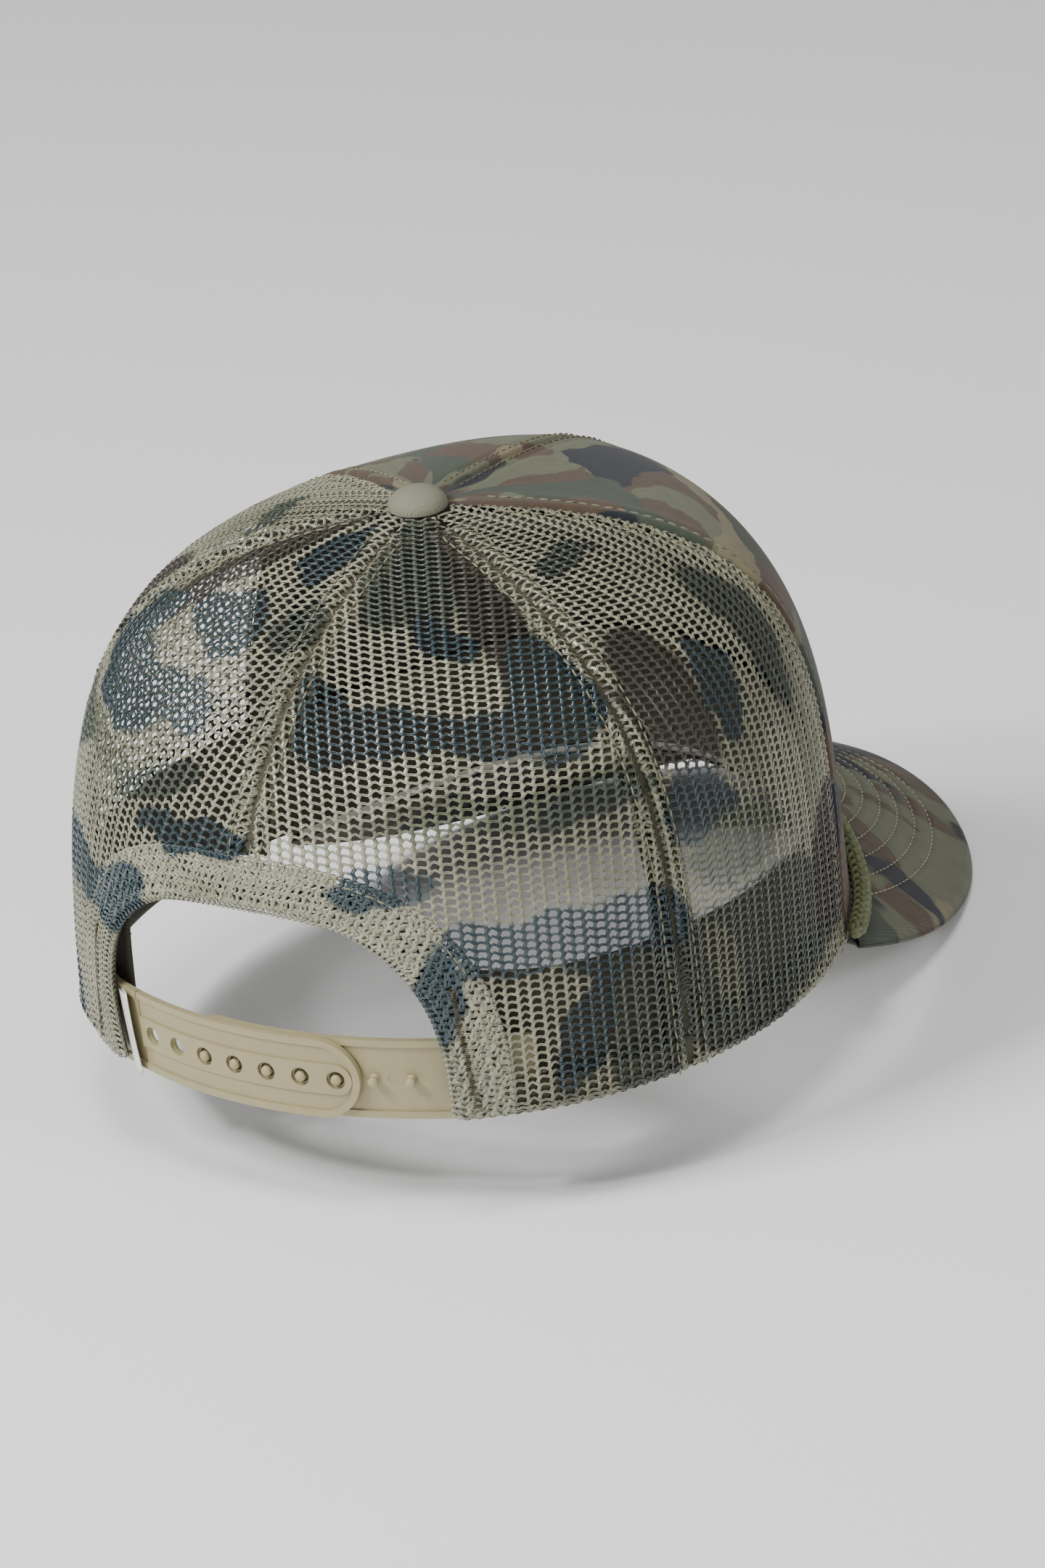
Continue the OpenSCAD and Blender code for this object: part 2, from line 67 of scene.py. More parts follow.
# %% [markdown]
# ## Camera, floor and light
# A long lens from behind and a little above keeps the crown's outline true. The
# floor is one level sheet of matt white, and every light and shadow on it comes
# from the lamps and the sky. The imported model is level, so the cap touches the
# floor with the front of its visor, and its rear rim stands clear of it.

# %% Camera
BACK_TURN = math.radians(212.63)
BACK_RISE = math.radians(22.62)
ROLL = math.radians(4.11)
TARGET = np.array([0, 0, 0.055])
DISTANCE = 2.015


def direction(turn, rise):
    """A unit vector, turned from the front and raised above the floor."""
    return np.array([math.sin(turn) * math.cos(rise), -math.cos(turn) * math.cos(rise), math.sin(rise)])


def look(obj, place, back, roll=0.0):
    """Puts an object at a place with its -Z away from back."""
    right = np.cross([0, 0, 1.0], back)
    right /= np.linalg.norm(right)
    up = np.cross(back, right)
    rolled = right * math.cos(roll) - up * math.sin(roll)
    upright = up * math.cos(roll) + right * math.sin(roll)
    matrix = np.eye(4)
    matrix[:3, :4] = np.column_stack([rolled, upright, back, place])
    obj.matrix_world = Matrix(matrix.tolist())


scene = bpy.context.scene
camera_data = bpy.data.cameras.new("camera")
camera = bpy.data.objects.new("camera", camera_data)
scene.collection.objects.link(camera)
back = direction(BACK_TURN, BACK_RISE)
look(camera, TARGET + back * DISTANCE, back, ROLL)
camera_data.lens = 199.3
camera_data.shift_x = 0.0466
camera_data.shift_y = -0.0317
camera_data.clip_end = 20
scene.camera = camera
print("camera at", [round(float(v), 3) for v in camera.matrix_world.translation])


# %% Colours and a node helper
def dye(code, alpha=1.0):
    """A linear colour from an sRGB hex value."""
    values = [int(code[i : i + 2], 16) / 255 for i in (1, 3, 5)]
    linear = [v / 12.92 if v <= 0.04045 else ((v + 0.055) / 1.055) ** 2.4 for v in values]
    return (*linear, alpha)


def add(tree, kind, inputs=None, **settings):
    """Adds a node, sets it up and links it. A node given as an input stands for its first output."""
    node = tree.nodes.new(kind)
    for name, value in settings.items():
        setattr(node, name, value)
    for key, value in (inputs or {}).items():
        if isinstance(value, bpy.types.Node):
            value = value.outputs[0]
        if isinstance(value, bpy.types.NodeSocket):
            tree.links.new(value, node.inputs[key])
        else:
            node.inputs[key].default_value = value
    return node


def new_material(name):
    """A material with an empty tree, its shader and its output."""
    material = bpy.data.materials.new(name)
    material.use_nodes = True
    tree = material.node_tree
    tree.nodes.clear()
    shader = add(tree, "ShaderNodeBsdfPrincipled")
    add(tree, "ShaderNodeOutputMaterial", {"Surface": shader})
    return material, tree, shader


# %% Floor and lights
FLOOR_DROP = 0.0005  # the floor lies this far under the visor's lowest point
FLOOR_HALF = 7.0

floor_z = cad_box[0][2] - FLOOR_DROP
signs = [(-1, -1), (1, -1), (1, 1), (-1, 1)]
floor_mesh = bpy.data.meshes.new("floor")
floor_mesh.from_pydata([(x * FLOOR_HALF, y * FLOOR_HALF, floor_z) for x, y in signs], [], [(0, 1, 2, 3)])
floor = bpy.data.objects.new("floor", floor_mesh)
scene.collection.objects.link(floor)
floor_paint, tree, shader = new_material("matt_white_paint")
shader.inputs["Base Color"].default_value = dye("#f4f4f4")
shader.inputs["Roughness"].default_value = 0.9
shader.inputs["Specular IOR Level"].default_value = 0.1
floor.data.materials.append(floor_paint)
print("the floor is level at", round(floor_z, 4))

world = bpy.data.worlds.new("studio")
world.use_nodes = True
world.node_tree.nodes["Background"].inputs["Color"].default_value = (1, 1, 1, 1)
world.node_tree.nodes["Background"].inputs["Strength"].default_value = 0.36
scene.world = world

LAMPS = [  # name, turn, rise, distance, size, watts
    ("key", 146, 46, 1.6, 0.4, 18),
    ("side", 262, 34, 1.7, 0.4, 4),
    ("top", 196, 74, 1.5, 0.5, 10),
    ("low", 186, 12, 1.9, 0.5, 3),
    ("glint", 160, 40, 1.8, 0.16, 12),
]
for name, turn, rise, far, size, watts in LAMPS:
    lamp_data = bpy.data.lights.new(name, "AREA")
    lamp_data.size = size
    lamp_data.energy = watts
    lamp = bpy.data.objects.new(name, lamp_data)
    scene.collection.objects.link(lamp)
    toward = direction(math.radians(turn), math.radians(rise))
    look(lamp, TARGET + toward * far, toward)
print(len(LAMPS), "soft lights")

# %% [markdown]
# ## The shape of the crown
# Every cloth piece lies on one surface, so the surface is a function: an angle
# round the head and a share of the way up give a point. The imported solids follow
# the same rule, and the script prints the crown's widest point beside the solid's.

# %% The crown as a function
HALF_WIDTH, FRONT, BACK, HEIGHT, APEX_BACK = 87.0, 102.0, 98.0, 115.0, 6.4
OPENING_WIDTH, OPENING_HEIGHT, SQUARENESS, LOBE = 92.0, 49.0, 2.8, 4.0
LOBE_LEAN = {"left": 2.5, "right": 1.5}
LOBE_SPAN = math.radians(24)
VISOR_HALF, VISOR_RISE, VISOR_SLOPE, VISOR_LENGTH, VISOR_SQUARE = math.radians(64), 14.0, 0.39, 130.0, 2.3
PEAK = 0.975
MM = 0.001

corner_x, corner_y = HALF_WIDTH * math.sin(VISOR_HALF), -FRONT * math.cos(VISOR_HALF)
visor_bend = (VISOR_RISE + VISOR_SLOPE * (FRONT + corner_y)) / corner_x**2
foot = math.pi - math.asin(OPENING_WIDTH / 2 / HALF_WIDTH)


def blend(angle, front_value, side_value, back_value):
    """A value that changes smoothly from the front by the side to the back."""
    c = np.cos(angle)
    front = np.where(c > 0, c * c, 0)
    rear = np.where(c < 0, c * c, 0)
    return front_value * front + side_value * (1 - front - rear) + back_value * rear


def visor_height(x, y):
    return VISOR_RISE - visor_bend * x**2 - VISOR_SLOPE * (-y - FRONT)


def lobe(offset):
    """1 at a foot of the rear opening, fading to 0 beside it."""
    share = np.abs(np.arctan2(np.sin(offset), np.cos(offset))) / LOBE_SPAN
    return np.where(share < 1, np.cos(np.minimum(share, 1) * math.pi / 2) ** 2, 0)


def crown(angle, u):
    """Points of the crown's outer face in millimetres, u = 0 at the rim and 1 at the apex."""
    angle, u = np.broadcast_arrays(np.asarray(angle, float), np.asarray(u, float))
    v = 1 - u
    lower, upper = 3 * u * v * v, 3 * u * u * v
    full = v**3 + lower * (1 + blend(angle, -0.07, -0.02, 0.01)) + upper * blend(angle, 0.73, 1.07, 0.87)
    depth = np.where(np.cos(angle) > 0, FRONT, BACK)
    pull = v**8 * (LOBE_LEAN["left"] * lobe(angle - foot) + LOBE_LEAN["right"] * lobe(angle + foot))
    rim_x, rim_y = HALF_WIDTH * np.sin(angle), -FRONT * np.cos(angle)
    rim = np.where(np.cos(angle) > math.cos(VISOR_HALF), np.maximum(visor_height(rim_x, rim_y), 0), 0)
    fall = 15.9 + (5.2 - 15.9) * (1 + np.cos(angle)) / 2
    x = (HALF_WIDTH * full - pull) * np.sin(angle)
    y = -(depth * full - pull) * np.cos(angle) + APEX_BACK * (1 - full)
    z = lower * blend(angle, 0.93, 0.6, 0.49) * HEIGHT + upper * (HEIGHT - fall) + u**3 * HEIGHT
    return np.stack([x, y, z + rim * (v**3 + 1.5 * u * v * v)], -1)


def outward(angle, u):
    """Unit normals of the crown."""
    u = np.clip(u, 0.02, 0.96)
    across = crown(angle + 0.017, u) - crown(angle - 0.017, u)
    upward = crown(angle, u + 0.01) - crown(angle, u - 0.01)
    normal = np.cross(across, upward)
    return normal / np.linalg.norm(normal, axis=-1, keepdims=True)


def raised(angle, u, rise):
    """Points beside the crown, raised along its normal, in metres."""
    rise = np.asarray(rise, float)
    return (crown(angle, u) + rise[..., None] * outward(angle, u)) * MM


SEAMS = {  # angle at the rim and at the button, degrees
    "front_left": (67.7, 60.2), "rear_left": (110.6, 116.1), "back": (180, 180),
    "rear_right": (249.4, 243.9), "front_right": (292.3, 299.8), "front": (360, 360),
}


def seam_angle(seam, u):
    low, high = SEAMS[seam]
    return np.radians(low + (high - low) * np.asarray(u, float))


side_top = crown(math.radians(90), np.linspace(0, PEAK, 60)) * MM
solid_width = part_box("side_mesh_left")[1][0]
print("widest point", round(float(side_top[:, 0].max()), 4), "and the solid's", round(solid_width, 4))


# %% The rear opening
def lobe_reach(z, grow=0.0):
    return LOBE * np.clip(1 - z / (OPENING_HEIGHT + grow), 0, 1) ** 3


def outside_arch(points):
    """Rough distance in millimetres outside the arch of the rear opening, negative inside."""
    x, y, z = np.moveaxis(np.asarray(points) / MM, -1, 0)
    shifted = np.where(x > 0, x + lobe_reach(np.maximum(z, 0)), x)
    field = np.abs(shifted / (OPENING_WIDTH / 2)) ** SQUARENESS + np.abs(z / OPENING_HEIGHT) ** SQUARENESS
    distance = (field ** (1 / SQUARENESS) - 1) * OPENING_WIDTH / 2
    return np.where(y > 0, distance, 99)


def on_back(x, z):
    """Angle and u of the points of the crown's back with a given x and z."""
    x, z = np.asarray(x, float), np.asarray(z, float)
    angle = math.pi - np.arcsin(np.clip(x / HALF_WIDTH, -1, 1))
    for _ in range(6):
        low, high = np.zeros_like(z), np.full_like(z, 0.8)
        for _ in range(22):
            middle = (low + high) / 2
            below = crown(angle, middle)[..., 2] < z
            low, high = np.where(below, middle, low), np.where(below, high, middle)
        angle = angle + (crown(angle, low)[..., 0] - x) / (HALF_WIDTH * 0.9)
    return angle, low


def arch(turn, grow):
    """Angle and u on the arch, turn = 0 on the wearer's left foot and pi on the right one."""
    power = 2 / SQUARENESS
    c, s = np.cos(turn), np.maximum(np.sin(turn), 0)
    z = (OPENING_HEIGHT + grow) * s**power
    reach = np.where(c > 0, lobe_reach(z, grow), 0)
    x = np.sign(c) * (OPENING_WIDTH / 2 + grow) * np.abs(c) ** power - reach
    return on_back(x, z)


print("arch top", [round(float(v), 1) for v in crown(*arch(np.array([math.pi / 2]), 0))[0]])

# %% [markdown]
# ## The print
# The mesh and the woven cloth carry a camouflage print. A dyer lays it out on the
# flat cloth, so each cloth piece keeps an attribute called print, its place in
# the layout in metres. Each blotch is an ellipse whose edge a noise pushes about,
# and a later blotch covers an earlier one.
# One wide moss blotch low on the side panels is mostly painted shade.

# %% Print layout
PRINT_WIDE, PRINT_HIGH = 1.55, 165.0  # millimetres for a degree, and for the whole way up


def print_place(angle, u):
    """Where a point of the crown lies on the printed cloth."""
    angle, u = np.broadcast_arrays(np.asarray(angle, float), np.asarray(u, float))
    return np.stack([np.degrees(angle) * PRINT_WIDE * MM, u * PRINT_HIGH * MM, 0 * u], -1)


def print_vector(tree, warp, size):
    """The print attribute, pushed about by a noise."""
    place = add(tree, "ShaderNodeAttribute", attribute_name="print").outputs["Vector"]
    grain = {"Vector": place, "Scale": 1 / size, "Detail": 3.0, "Roughness": 0.55}
    noise = add(tree, "ShaderNodeTexNoise", grain)
    halves = {0: noise.outputs["Color"], 1: (0.5, 0.5, 0.5)}
    centred = add(tree, "ShaderNodeVectorMath", halves, operation="SUBTRACT")
    pushed = add(tree, "ShaderNodeVectorMath", {0: centred, "Scale": warp}, operation="SCALE")
    return place, add(tree, "ShaderNodeVectorMath", {0: place, 1: pushed})


def blotch(tree, place, ground, colour, centre, size, tilt, edge):
    """Lays one ellipse of a colour over a ground and returns the new colour."""
    local = add(
        tree, "ShaderNodeMapping",
        {
            "Vector": place, "Location": (*centre, 0),
            "Rotation": (0, 0, math.radians(tilt)), "Scale": (*size, 1),
        },
        vector_type="TEXTURE",
    )
    reach = add(tree, "ShaderNodeVectorMath", {0: local}, operation="LENGTH").outputs["Value"]
    cover = add(
        tree, "ShaderNodeMapRange",
        {"Value": reach, "From Min": 1 + edge, "From Max": 1 - edge}, interpolation_type="SMOOTHSTEP",
    )
    return add(tree, "ShaderNodeMix", {0: cover, 6: ground, 7: colour}, data_type="RGBA").outputs[2]


KHAKI, OLIVE, MOSS, SLATE = dye("#92917a"), dye("#646751"), dye("#424a3d"), dye("#22363b")
BROWN, BARK, NIGHT, SAND = dye("#544638"), dye("#3a352b"), dye("#23272d"), dye("#7d755b")
KNIT_PRINT_AND_SHADE = [  # angle, share of the height, half width in degrees, half height, tilt, dye
    (208, 0.88, 23, 0.13, 0, MOSS), (232, 0.82, 7, 0.17, 4, BARK), (205, 0.70, 20, 0.085, -6, KHAKI),
    (219, 0.755, 9, 0.032, -24, SLATE), (204, 0.590, 19, 0.060, -8, SLATE), (190, 0.65, 8, 0.045, -24, SLATE),
    (228, 0.570, 20, 0.065, 6, SLATE), (236, 0.640, 7, 0.090, 0, SLATE), (208, 0.52, 24, 0.045, -4, KHAKI),
    (224, 0.455, 24, 0.034, 3, OLIVE), (239, 0.43, 10, 0.040, 0, MOSS), (203, 0.355, 9, 0.036, 6, SLATE),
    (226, 0.245, 15, 0.042, 0, SLATE), (241, 0.20, 11, 0.075, -6, SLATE), (212, 0.18, 4.5, 0.070, 0, SLATE),
    (222, 0.10, 8, 0.085, 14, KHAKI), (234, 0.09, 4, 0.11, -24, SLATE), (243, 0.07, 6, 0.10, 0, MOSS),
    (168, 0.405, 12, 0.034, 4, SLATE), (152, 0.27, 8, 0.06, 16, SLATE), (157, 0.47, 11, 0.030, 30, MOSS),
    (171, 0.76, 8, 0.045, 0, MOSS), (149, 0.74, 12, 0.065, 0, SLATE), (153, 0.60, 10, 0.045, -8, SLATE),
    (156, 0.90, 16, 0.050, 0, SLATE), (256, 0.55, 7.5, 0.17, 8, BARK), (267.5, 0.52, 3.6, 0.11, 0, SLATE),
    (283, 0.56, 6.5, 0.17, -4, MOSS), (255, 0.36, 7, 0.060, -30, SLATE), (263, 0.27, 10, 0.060, 0, OLIVE),
    # The wide moss blotch at 262 degrees and a tenth of the height, mirrored to 98, is partly print and
    # mostly painted shade along the bottom of the side panels.
    (262, 0.10, 24, 0.10, 0, MOSS), (288, 0.13, 10, 0.10, -30, BARK), (266, 0.83, 13, 0.022, 0, MOSS),
    (276, 0.30, 5, 0.10, 10, KHAKI), (256, 0.12, 4, 0.06, 20, OLIVE),
]


def knit_print_and_shade(tree):
    """The colour of the printed mesh, with painted shade low on its side panels."""
    place, pushed = print_vector(tree, 0.018, 0.020)
    broad = add(tree, "ShaderNodeTexNoise", {"Vector": place, "Scale": 24.0, "Detail": 2.0})
    span = {"Value": broad, "From Min": 0.45, "From Max": 0.62}
    fade = add(tree, "ShaderNodeMapRange", span, interpolation_type="SMOOTHSTEP")
    faint = add(tree, "ShaderNodeMath", {0: fade, 1: 0.45}, operation="MULTIPLY")
    colour = add(tree, "ShaderNodeMix", {0: faint, 6: KHAKI, 7: OLIVE}, data_type="RGBA").outputs[2]
    for angle, u, wide, high, tilt, tint in KNIT_PRINT_AND_SHADE:
        for turned in [angle, 360 - angle] if angle > 215 else [angle]:
            centre = print_place(math.radians(turned), u)[:2]
            size = (wide * PRINT_WIDE * MM, high * PRINT_HIGH * MM)
            lean = tilt if turned == angle else -tilt
            colour = blotch(tree, pushed, colour, tint, [float(v) for v in centre], size, lean, 0.10)
    return place, colour


def woven_print(tree):
    """The colour of the printed woven cloth, whose blotches are closer and darker."""
    place, pushed = print_vector(tree, 0.010, 0.016)
    colour = add(tree, "ShaderNodeRGB").outputs[0]
    colour.default_value = BROWN
    layers = [  # dye, size of a patch, place in the noise, threshold
        (OLIVE, 0.031, (0, 0, 0.9), 0.50), (SAND, 0.034, (0.4, 0, 0.2), 0.60),
        (BROWN, 0.03, (0.1, 0.3, 0.6), 0.56), (NIGHT, 0.032, (0.7, 0.2, 0.4), 0.585),
        (MOSS, 0.036, (0.2, 0.9, 0.1), 0.60),
    ]
    edge = 0.006
    for tint, size, shift, threshold in layers:
        local = add(tree, "ShaderNodeMapping", {"Vector": pushed, "Location": shift, "Scale": (0.72, 1.3, 1)})
        grain = {"Vector": local, "Scale": 1 / size, "Detail": 1.0, "Roughness": 0.3}
        patch = add(tree, "ShaderNodeTexNoise", grain)
        span = {"Value": patch, "From Min": threshold - edge, "From Max": threshold + edge}
        cover = add(tree, "ShaderNodeMapRange", span)
        colour = add(tree, "ShaderNodeMix", {0: cover, 6: colour, 7: tint}, data_type="RGBA").outputs[2]
    return place, colour


# %% [markdown]
# ## Cloth finishes
# The knit is polyester monofilament, round and glossy, so it needs little more
# than its dye and a low roughness. Woven cloth shows crossing threads: two band
# patterns at the thread spacing make its bump and paint shade into the gaps.

# %% Knit and woven finishes
def tinted(tree, colour, vector, size, low, high):
    """A colour, made lighter and darker by a noise of a given grain size in metres."""
    grain = add(tree, "ShaderNodeTexNoise", {"Vector": vector, "Scale": 1 / size, "Detail": 2.0})
    span = {"Value": grain, "From Min": 0.3, "From Max": 0.7, "To Min": low, "To Max": high}
    value = add(tree, "ShaderNodeMapRange", span)
    return add(tree, "ShaderNodeHueSaturation", {"Color": colour, "Value": value})


def weave(tree, vector, spacing, slant=0.0):
    """Height of a weave, from two bands of threads that cross."""
    bands = []
    for turn in (slant, slant + math.pi / 2):
        local = add(tree, "ShaderNodeMapping", {"Vector": vector, "Rotation": (0, 0, turn)})
        threads = {"Vector": local, "Scale": math.pi / 10 / spacing, "Distortion": 0.6, "Detail": 1.0}
        bands.append(add(tree, "ShaderNodeTexWave", threads))
    return add(tree, "ShaderNodeMath", {0: bands[0], 1: bands[1]}, operation="MULTIPLY")


def cloth(name, spacing, roughness, colour=None, printed=None, depth=0.00012, slant=0.0, attribute="print"):
    """A woven finish of one dye, or of a print."""
    material, tree, shader = new_material(name)
    if printed:
        place, colour = printed(tree)
    else:
        place = add(tree, "ShaderNodeAttribute", attribute_name=attribute).outputs["Vector"]
    height = weave(tree, place, spacing, slant)
    # Painted shade: the gaps between the threads are darker.
    shade = add(tree, "ShaderNodeMapRange", {"Value": height, "To Min": 0.78, "To Max": 1.12})
    threads = add(tree, "ShaderNodeHueSaturation", {"Color": colour, "Value": shade})
    worn = tinted(tree, threads, place, 0.004, 0.90, 1.10)
    bump = add(tree, "ShaderNodeBump", {"Height": height, "Distance": depth, "Strength": 0.7})
    tree.links.new(worn.outputs[0], shader.inputs["Base Color"])
    tree.links.new(bump.outputs[0], shader.inputs["Normal"])
    shader.inputs["Roughness"].default_value = roughness
    shader.inputs["Specular IOR Level"].default_value = 0.25
    shader.inputs["Sheen Weight"].default_value = 0.12
    shader.inputs["Sheen Roughness"].default_value = 0.5
    return material


# Warp-knitted polyester monofilament: round glossy strands with pin-sharp glints.
knit_polyester, tree, shader = new_material("knitted_polyester_monofilament")
place, colour = knit_print_and_shade(tree)
strands = tinted(tree, colour, place, 0.0022, 0.80, 1.22)
tree.links.new(strands.outputs[0], shader.inputs["Base Color"])
shader.inputs["Roughness"].default_value = 0.3
shader.inputs["Specular IOR Level"].default_value = 0.6
shader.inputs["Coat Weight"].default_value = 0.6
shader.inputs["Coat Roughness"].default_value = 0.09

# Brushed polyester poplin, matt, with threads 0.45 mm apart.
poplin = cloth("printed_polyester_poplin", 0.00045, 0.82, printed=woven_print)
# Cotton twill of the sweatband, dark olive brown, with a slanting rib.
band_twill = cloth("cotton_twill", 0.0007, 0.88, colour=dye("#4b473a"), slant=0.9)
# Herringbone seam tape of polyester, a little shinier than the twill.
seam_cloth = cloth("polyester_seam_tape", 0.0006, 0.75, colour=dye("#4b4737"), slant=0.7)
# Foam faced with tricot, seen only on the inside.
foam_tricot = cloth("tricot_faced_foam", 0.0008, 0.9, colour=dye("#3a372f"))
# Satin ribbon of the label: long floats give a soft silky shine.
ribbon = cloth("polyester_satin", 0.0002, 0.38, colour=dye("#f2f0ea"), depth=0.00002)
print("finishes:", [m.name for m in bpy.data.materials if m.users == 0][:8])


# %% Thread, cord and plastic finishes
def plain(name, colour, roughness, grain, strength, low=0.92, high=1.08, specular=0.5):
    """A finish of one colour with a fine grain, on Object coordinates."""
    material, tree, shader = new_material(name)
    place = add(tree, "ShaderNodeTexCoord").outputs["Object"]
    tone = tinted(tree, colour, place, grain * 6, low, high)
    texture = add(tree, "ShaderNodeTexNoise", {"Vector": place, "Scale": 1 / grain, "Detail": 3.0})
    bump = add(tree, "ShaderNodeBump", {"Height": texture, "Distance": strength, "Strength": 0.6})
    span = {"Value": texture, "To Min": roughness - 0.06, "To Max": roughness + 0.06}
    rough = add(tree, "ShaderNodeMapRange", span)
    tree.links.new(tone.outputs[0], shader.inputs["Base Color"])
    tree.links.new(bump.outputs[0], shader.inputs["Normal"])
    tree.links.new(rough.outputs[0], shader.inputs["Roughness"])
    shader.inputs["Specular IOR Level"].default_value = specular
    return material


# Spun polyester sewing thread, slightly glossy.
olive_thread = plain("spun_polyester_thread", dye("#7b7860"), 0.5, 0.0004, 0.00004)
dark_thread = plain("dark_polyester_thread", dye("#6b6045"), 0.55, 0.0004, 0.00004)
# Braided polyester cord, olive.
cord_yarn = plain("braided_polyester_cord", dye("#666b49"), 0.55, 0.0005, 0.00005, 0.8, 1.2)
# Injection-moulded polyethylene, satin: a faint sparked texture from the mould.
polyethylene = plain("moulded_polyethylene", dye("#9c936f"), 0.42, 0.0006, 0.000025, 0.97, 1.03)
board_stock = plain("polyethylene_board", dye("#d8d4c8"), 0.6, 0.002, 0.00005)
# Pressed steel, painted, on the button's rivet.
painted_steel = plain("painted_steel", dye("#7d7a70"), 0.35, 0.0008, 0.00002)
# Fine twill stretched over the button's shell.
button_twill, tree, shader = new_material("fine_cotton_twill")
place = add(tree, "ShaderNodeTexCoord").outputs["Object"]
height = weave(tree, place, 0.0006, 0.78)
# Painted shade: the gaps between the threads are darker.
shade = add(tree, "ShaderNodeMapRange", {"Value": height, "To Min": 0.80, "To Max": 1.08})
threads = add(tree, "ShaderNodeHueSaturation", {"Color": dye("#7c7c69"), "Value": shade})
tree.links.new(threads.outputs[0], shader.inputs["Base Color"])
bump = add(tree, "ShaderNodeBump", {"Height": height, "Distance": 0.00012, "Strength": 0.6})
tree.links.new(bump.outputs[0], shader.inputs["Normal"])
shader.inputs["Roughness"].default_value = 0.8
print("moulded and thread finishes are ready")

# %% [markdown]
# ## Sheets to drape on
# A cloth piece starts as a smooth sheet of points over the crown. Beside its
# place, each point keeps where it lies on the flat cloth, in millimetres. The
# fabric dips into each seam and swells beside it, so the sheet does too.

# %% Sheets
SPAN = 400.0  # millimetres of flat cloth that the unit square of a UV map holds


def link(mesh_or_object, name=None):
    """Puts a mesh or an object in the scene."""
    if isinstance(mesh_or_object, bpy.types.Mesh):
        mesh_or_object = bpy.data.objects.new(name or mesh_or_object.name, mesh_or_object)
    scene.collection.objects.link(mesh_or_object)
    return mesh_or_object


def grid_mesh(name, points, flat, place=None, keep=None):
    """A smooth quad mesh through a grid of points, with its flat layout as a UV map."""
    rows, cols = points.shape[:2]
    index = np.arange(rows * cols).reshape(rows, cols)
    quads = np.stack([index[:-1, :-1], index[:-1, 1:], index[1:, 1:], index[1:, :-1]], -1).reshape(-1, 4)
    mesh = bpy.data.meshes.new(name)
    mesh.from_pydata(points.reshape(-1, 3).tolist(), [], quads.tolist())
    uv = (np.asarray(flat, float) / SPAN + 0.5).reshape(-1, 2)
    layer = mesh.uv_layers.new(name="flat")
    layer.data.foreach_set("uv", uv[quads.ravel()].ravel().astype(np.float32))
    if place is not None:
        mesh.attributes.new("print", "FLOAT_VECTOR", "POINT").data.foreach_set("vector", place.reshape(-1))
    if keep is not None:
        mesh.attributes.new("keep", "FLOAT", "POINT").data.foreach_set("value", keep.reshape(-1))
    mesh.shade_smooth()
    return mesh


def lengths(points, axis):
    """Running length along one axis of a grid of points."""
    steps = np.linalg.norm(np.diff(points, axis=axis), axis=-1)
    start = np.zeros_like(np.take(steps, [0], axis=axis))
    return np.concatenate([start, np.cumsum(steps, axis=axis)], axis=axis)


def seam_relief(distance):
    """Height of the cloth beside a seam: a groove, a swell, and a dent under the topstitch."""
    groove = -1.6 * np.exp(-((distance / 0.7) ** 2))
    swell = 0.45 * np.exp(-(((distance - 2.1) / 1.1) ** 2))
    dent = -0.28 * np.exp(-(((distance - 4.2) / 0.7) ** 2))
    return groove + swell + dent + 0.18 * np.exp(-(((distance - 6.0) / 1.6) ** 2))


def panel_grid(seam_a, seam_b, rows=84, cols=54, low=0.0, high=PEAK, depth=0.0, relief=1.0):
    """Angle, u, points, flat layout and distance to the nearer seam, over one panel."""
    u = np.linspace(low, high, rows)
    first, last = seam_angle(seam_a, u), seam_angle(seam_b, u)
    first = np.where(first > last, first - 2 * math.pi, first)
    angle = first[:, None] + (last - first)[:, None] * np.linspace(0, 1, cols)
    height = np.repeat(u[:, None], cols, 1)
    base = crown(angle, height)
    across = lengths(base, 1)
    to_seam = np.minimum(across, across[:, -1:] - across)
    middle = cols // 2
    climb = lengths(base[:, middle : middle + 1], 0)
    flat = np.stack([across - across[:, middle : middle + 1], np.repeat(climb, cols, 1)], -1)
    fade = np.clip((1 - height) / 0.15, 0, 1)
    rise = depth + relief * seam_relief(to_seam) * fade
    return angle, height, raised(angle, height, rise), flat, to_seam


PANELS = {
    "side_mesh_left": ("front_left", "rear_left"), "rear_mesh_left": ("rear_left", "back"),
    "rear_mesh_right": ("back", "rear_right"), "side_mesh_right": ("rear_right", "front_right"),
}
mesh_sheets = {}
for node, seams in PANELS.items():
    angle, height, points, flat, to_seam = panel_grid(*seams)
    keep = outside_arch(points) - 1.5
    mesh_sheets[node] = grid_mesh(node + "_sheet", points, flat, print_place(angle, height), keep)
print("sheets:", {name: len(mesh.vertices) for name, mesh in mesh_sheets.items()})

# %% [markdown]
# ## Knitting the mesh
# The cloth is an open warp knit. Smooth pillars stand between columns of round
# holes, and pairs of fine strands cross them in a zigzag, so each hole has a
# double arc along its top. A Geometry Nodes tree makes the strands flat, in
# millimetres, and drapes them: it looks up each point in the sheet's flat layout
# and moves it to the sheet, raised by its own height.

# %% The draping tree
def new_tree(name, sockets):
    """A Geometry Nodes tree with named inputs; returns the tree, its inputs and its output node."""
    tree = bpy.data.node_groups.new(name, "GeometryNodeTree")
    tree.interface.new_socket(name="Geometry", in_out="OUTPUT", socket_type="NodeSocketGeometry")
    for label, kind, value in sockets:
        socket = tree.interface.new_socket(name=label, in_out="INPUT", socket_type="NodeSocket" + kind)
        if value is not None:
            socket.default_value = value
    return tree, tree.nodes.new("NodeGroupInput").outputs, tree.nodes.new("NodeGroupOutput")


def named_attribute(tree, name, kind):
    """Reads a named attribute of the geometry."""
    return add(tree, "GeometryNodeInputNamedAttribute", {"Name": name}, data_type=kind)


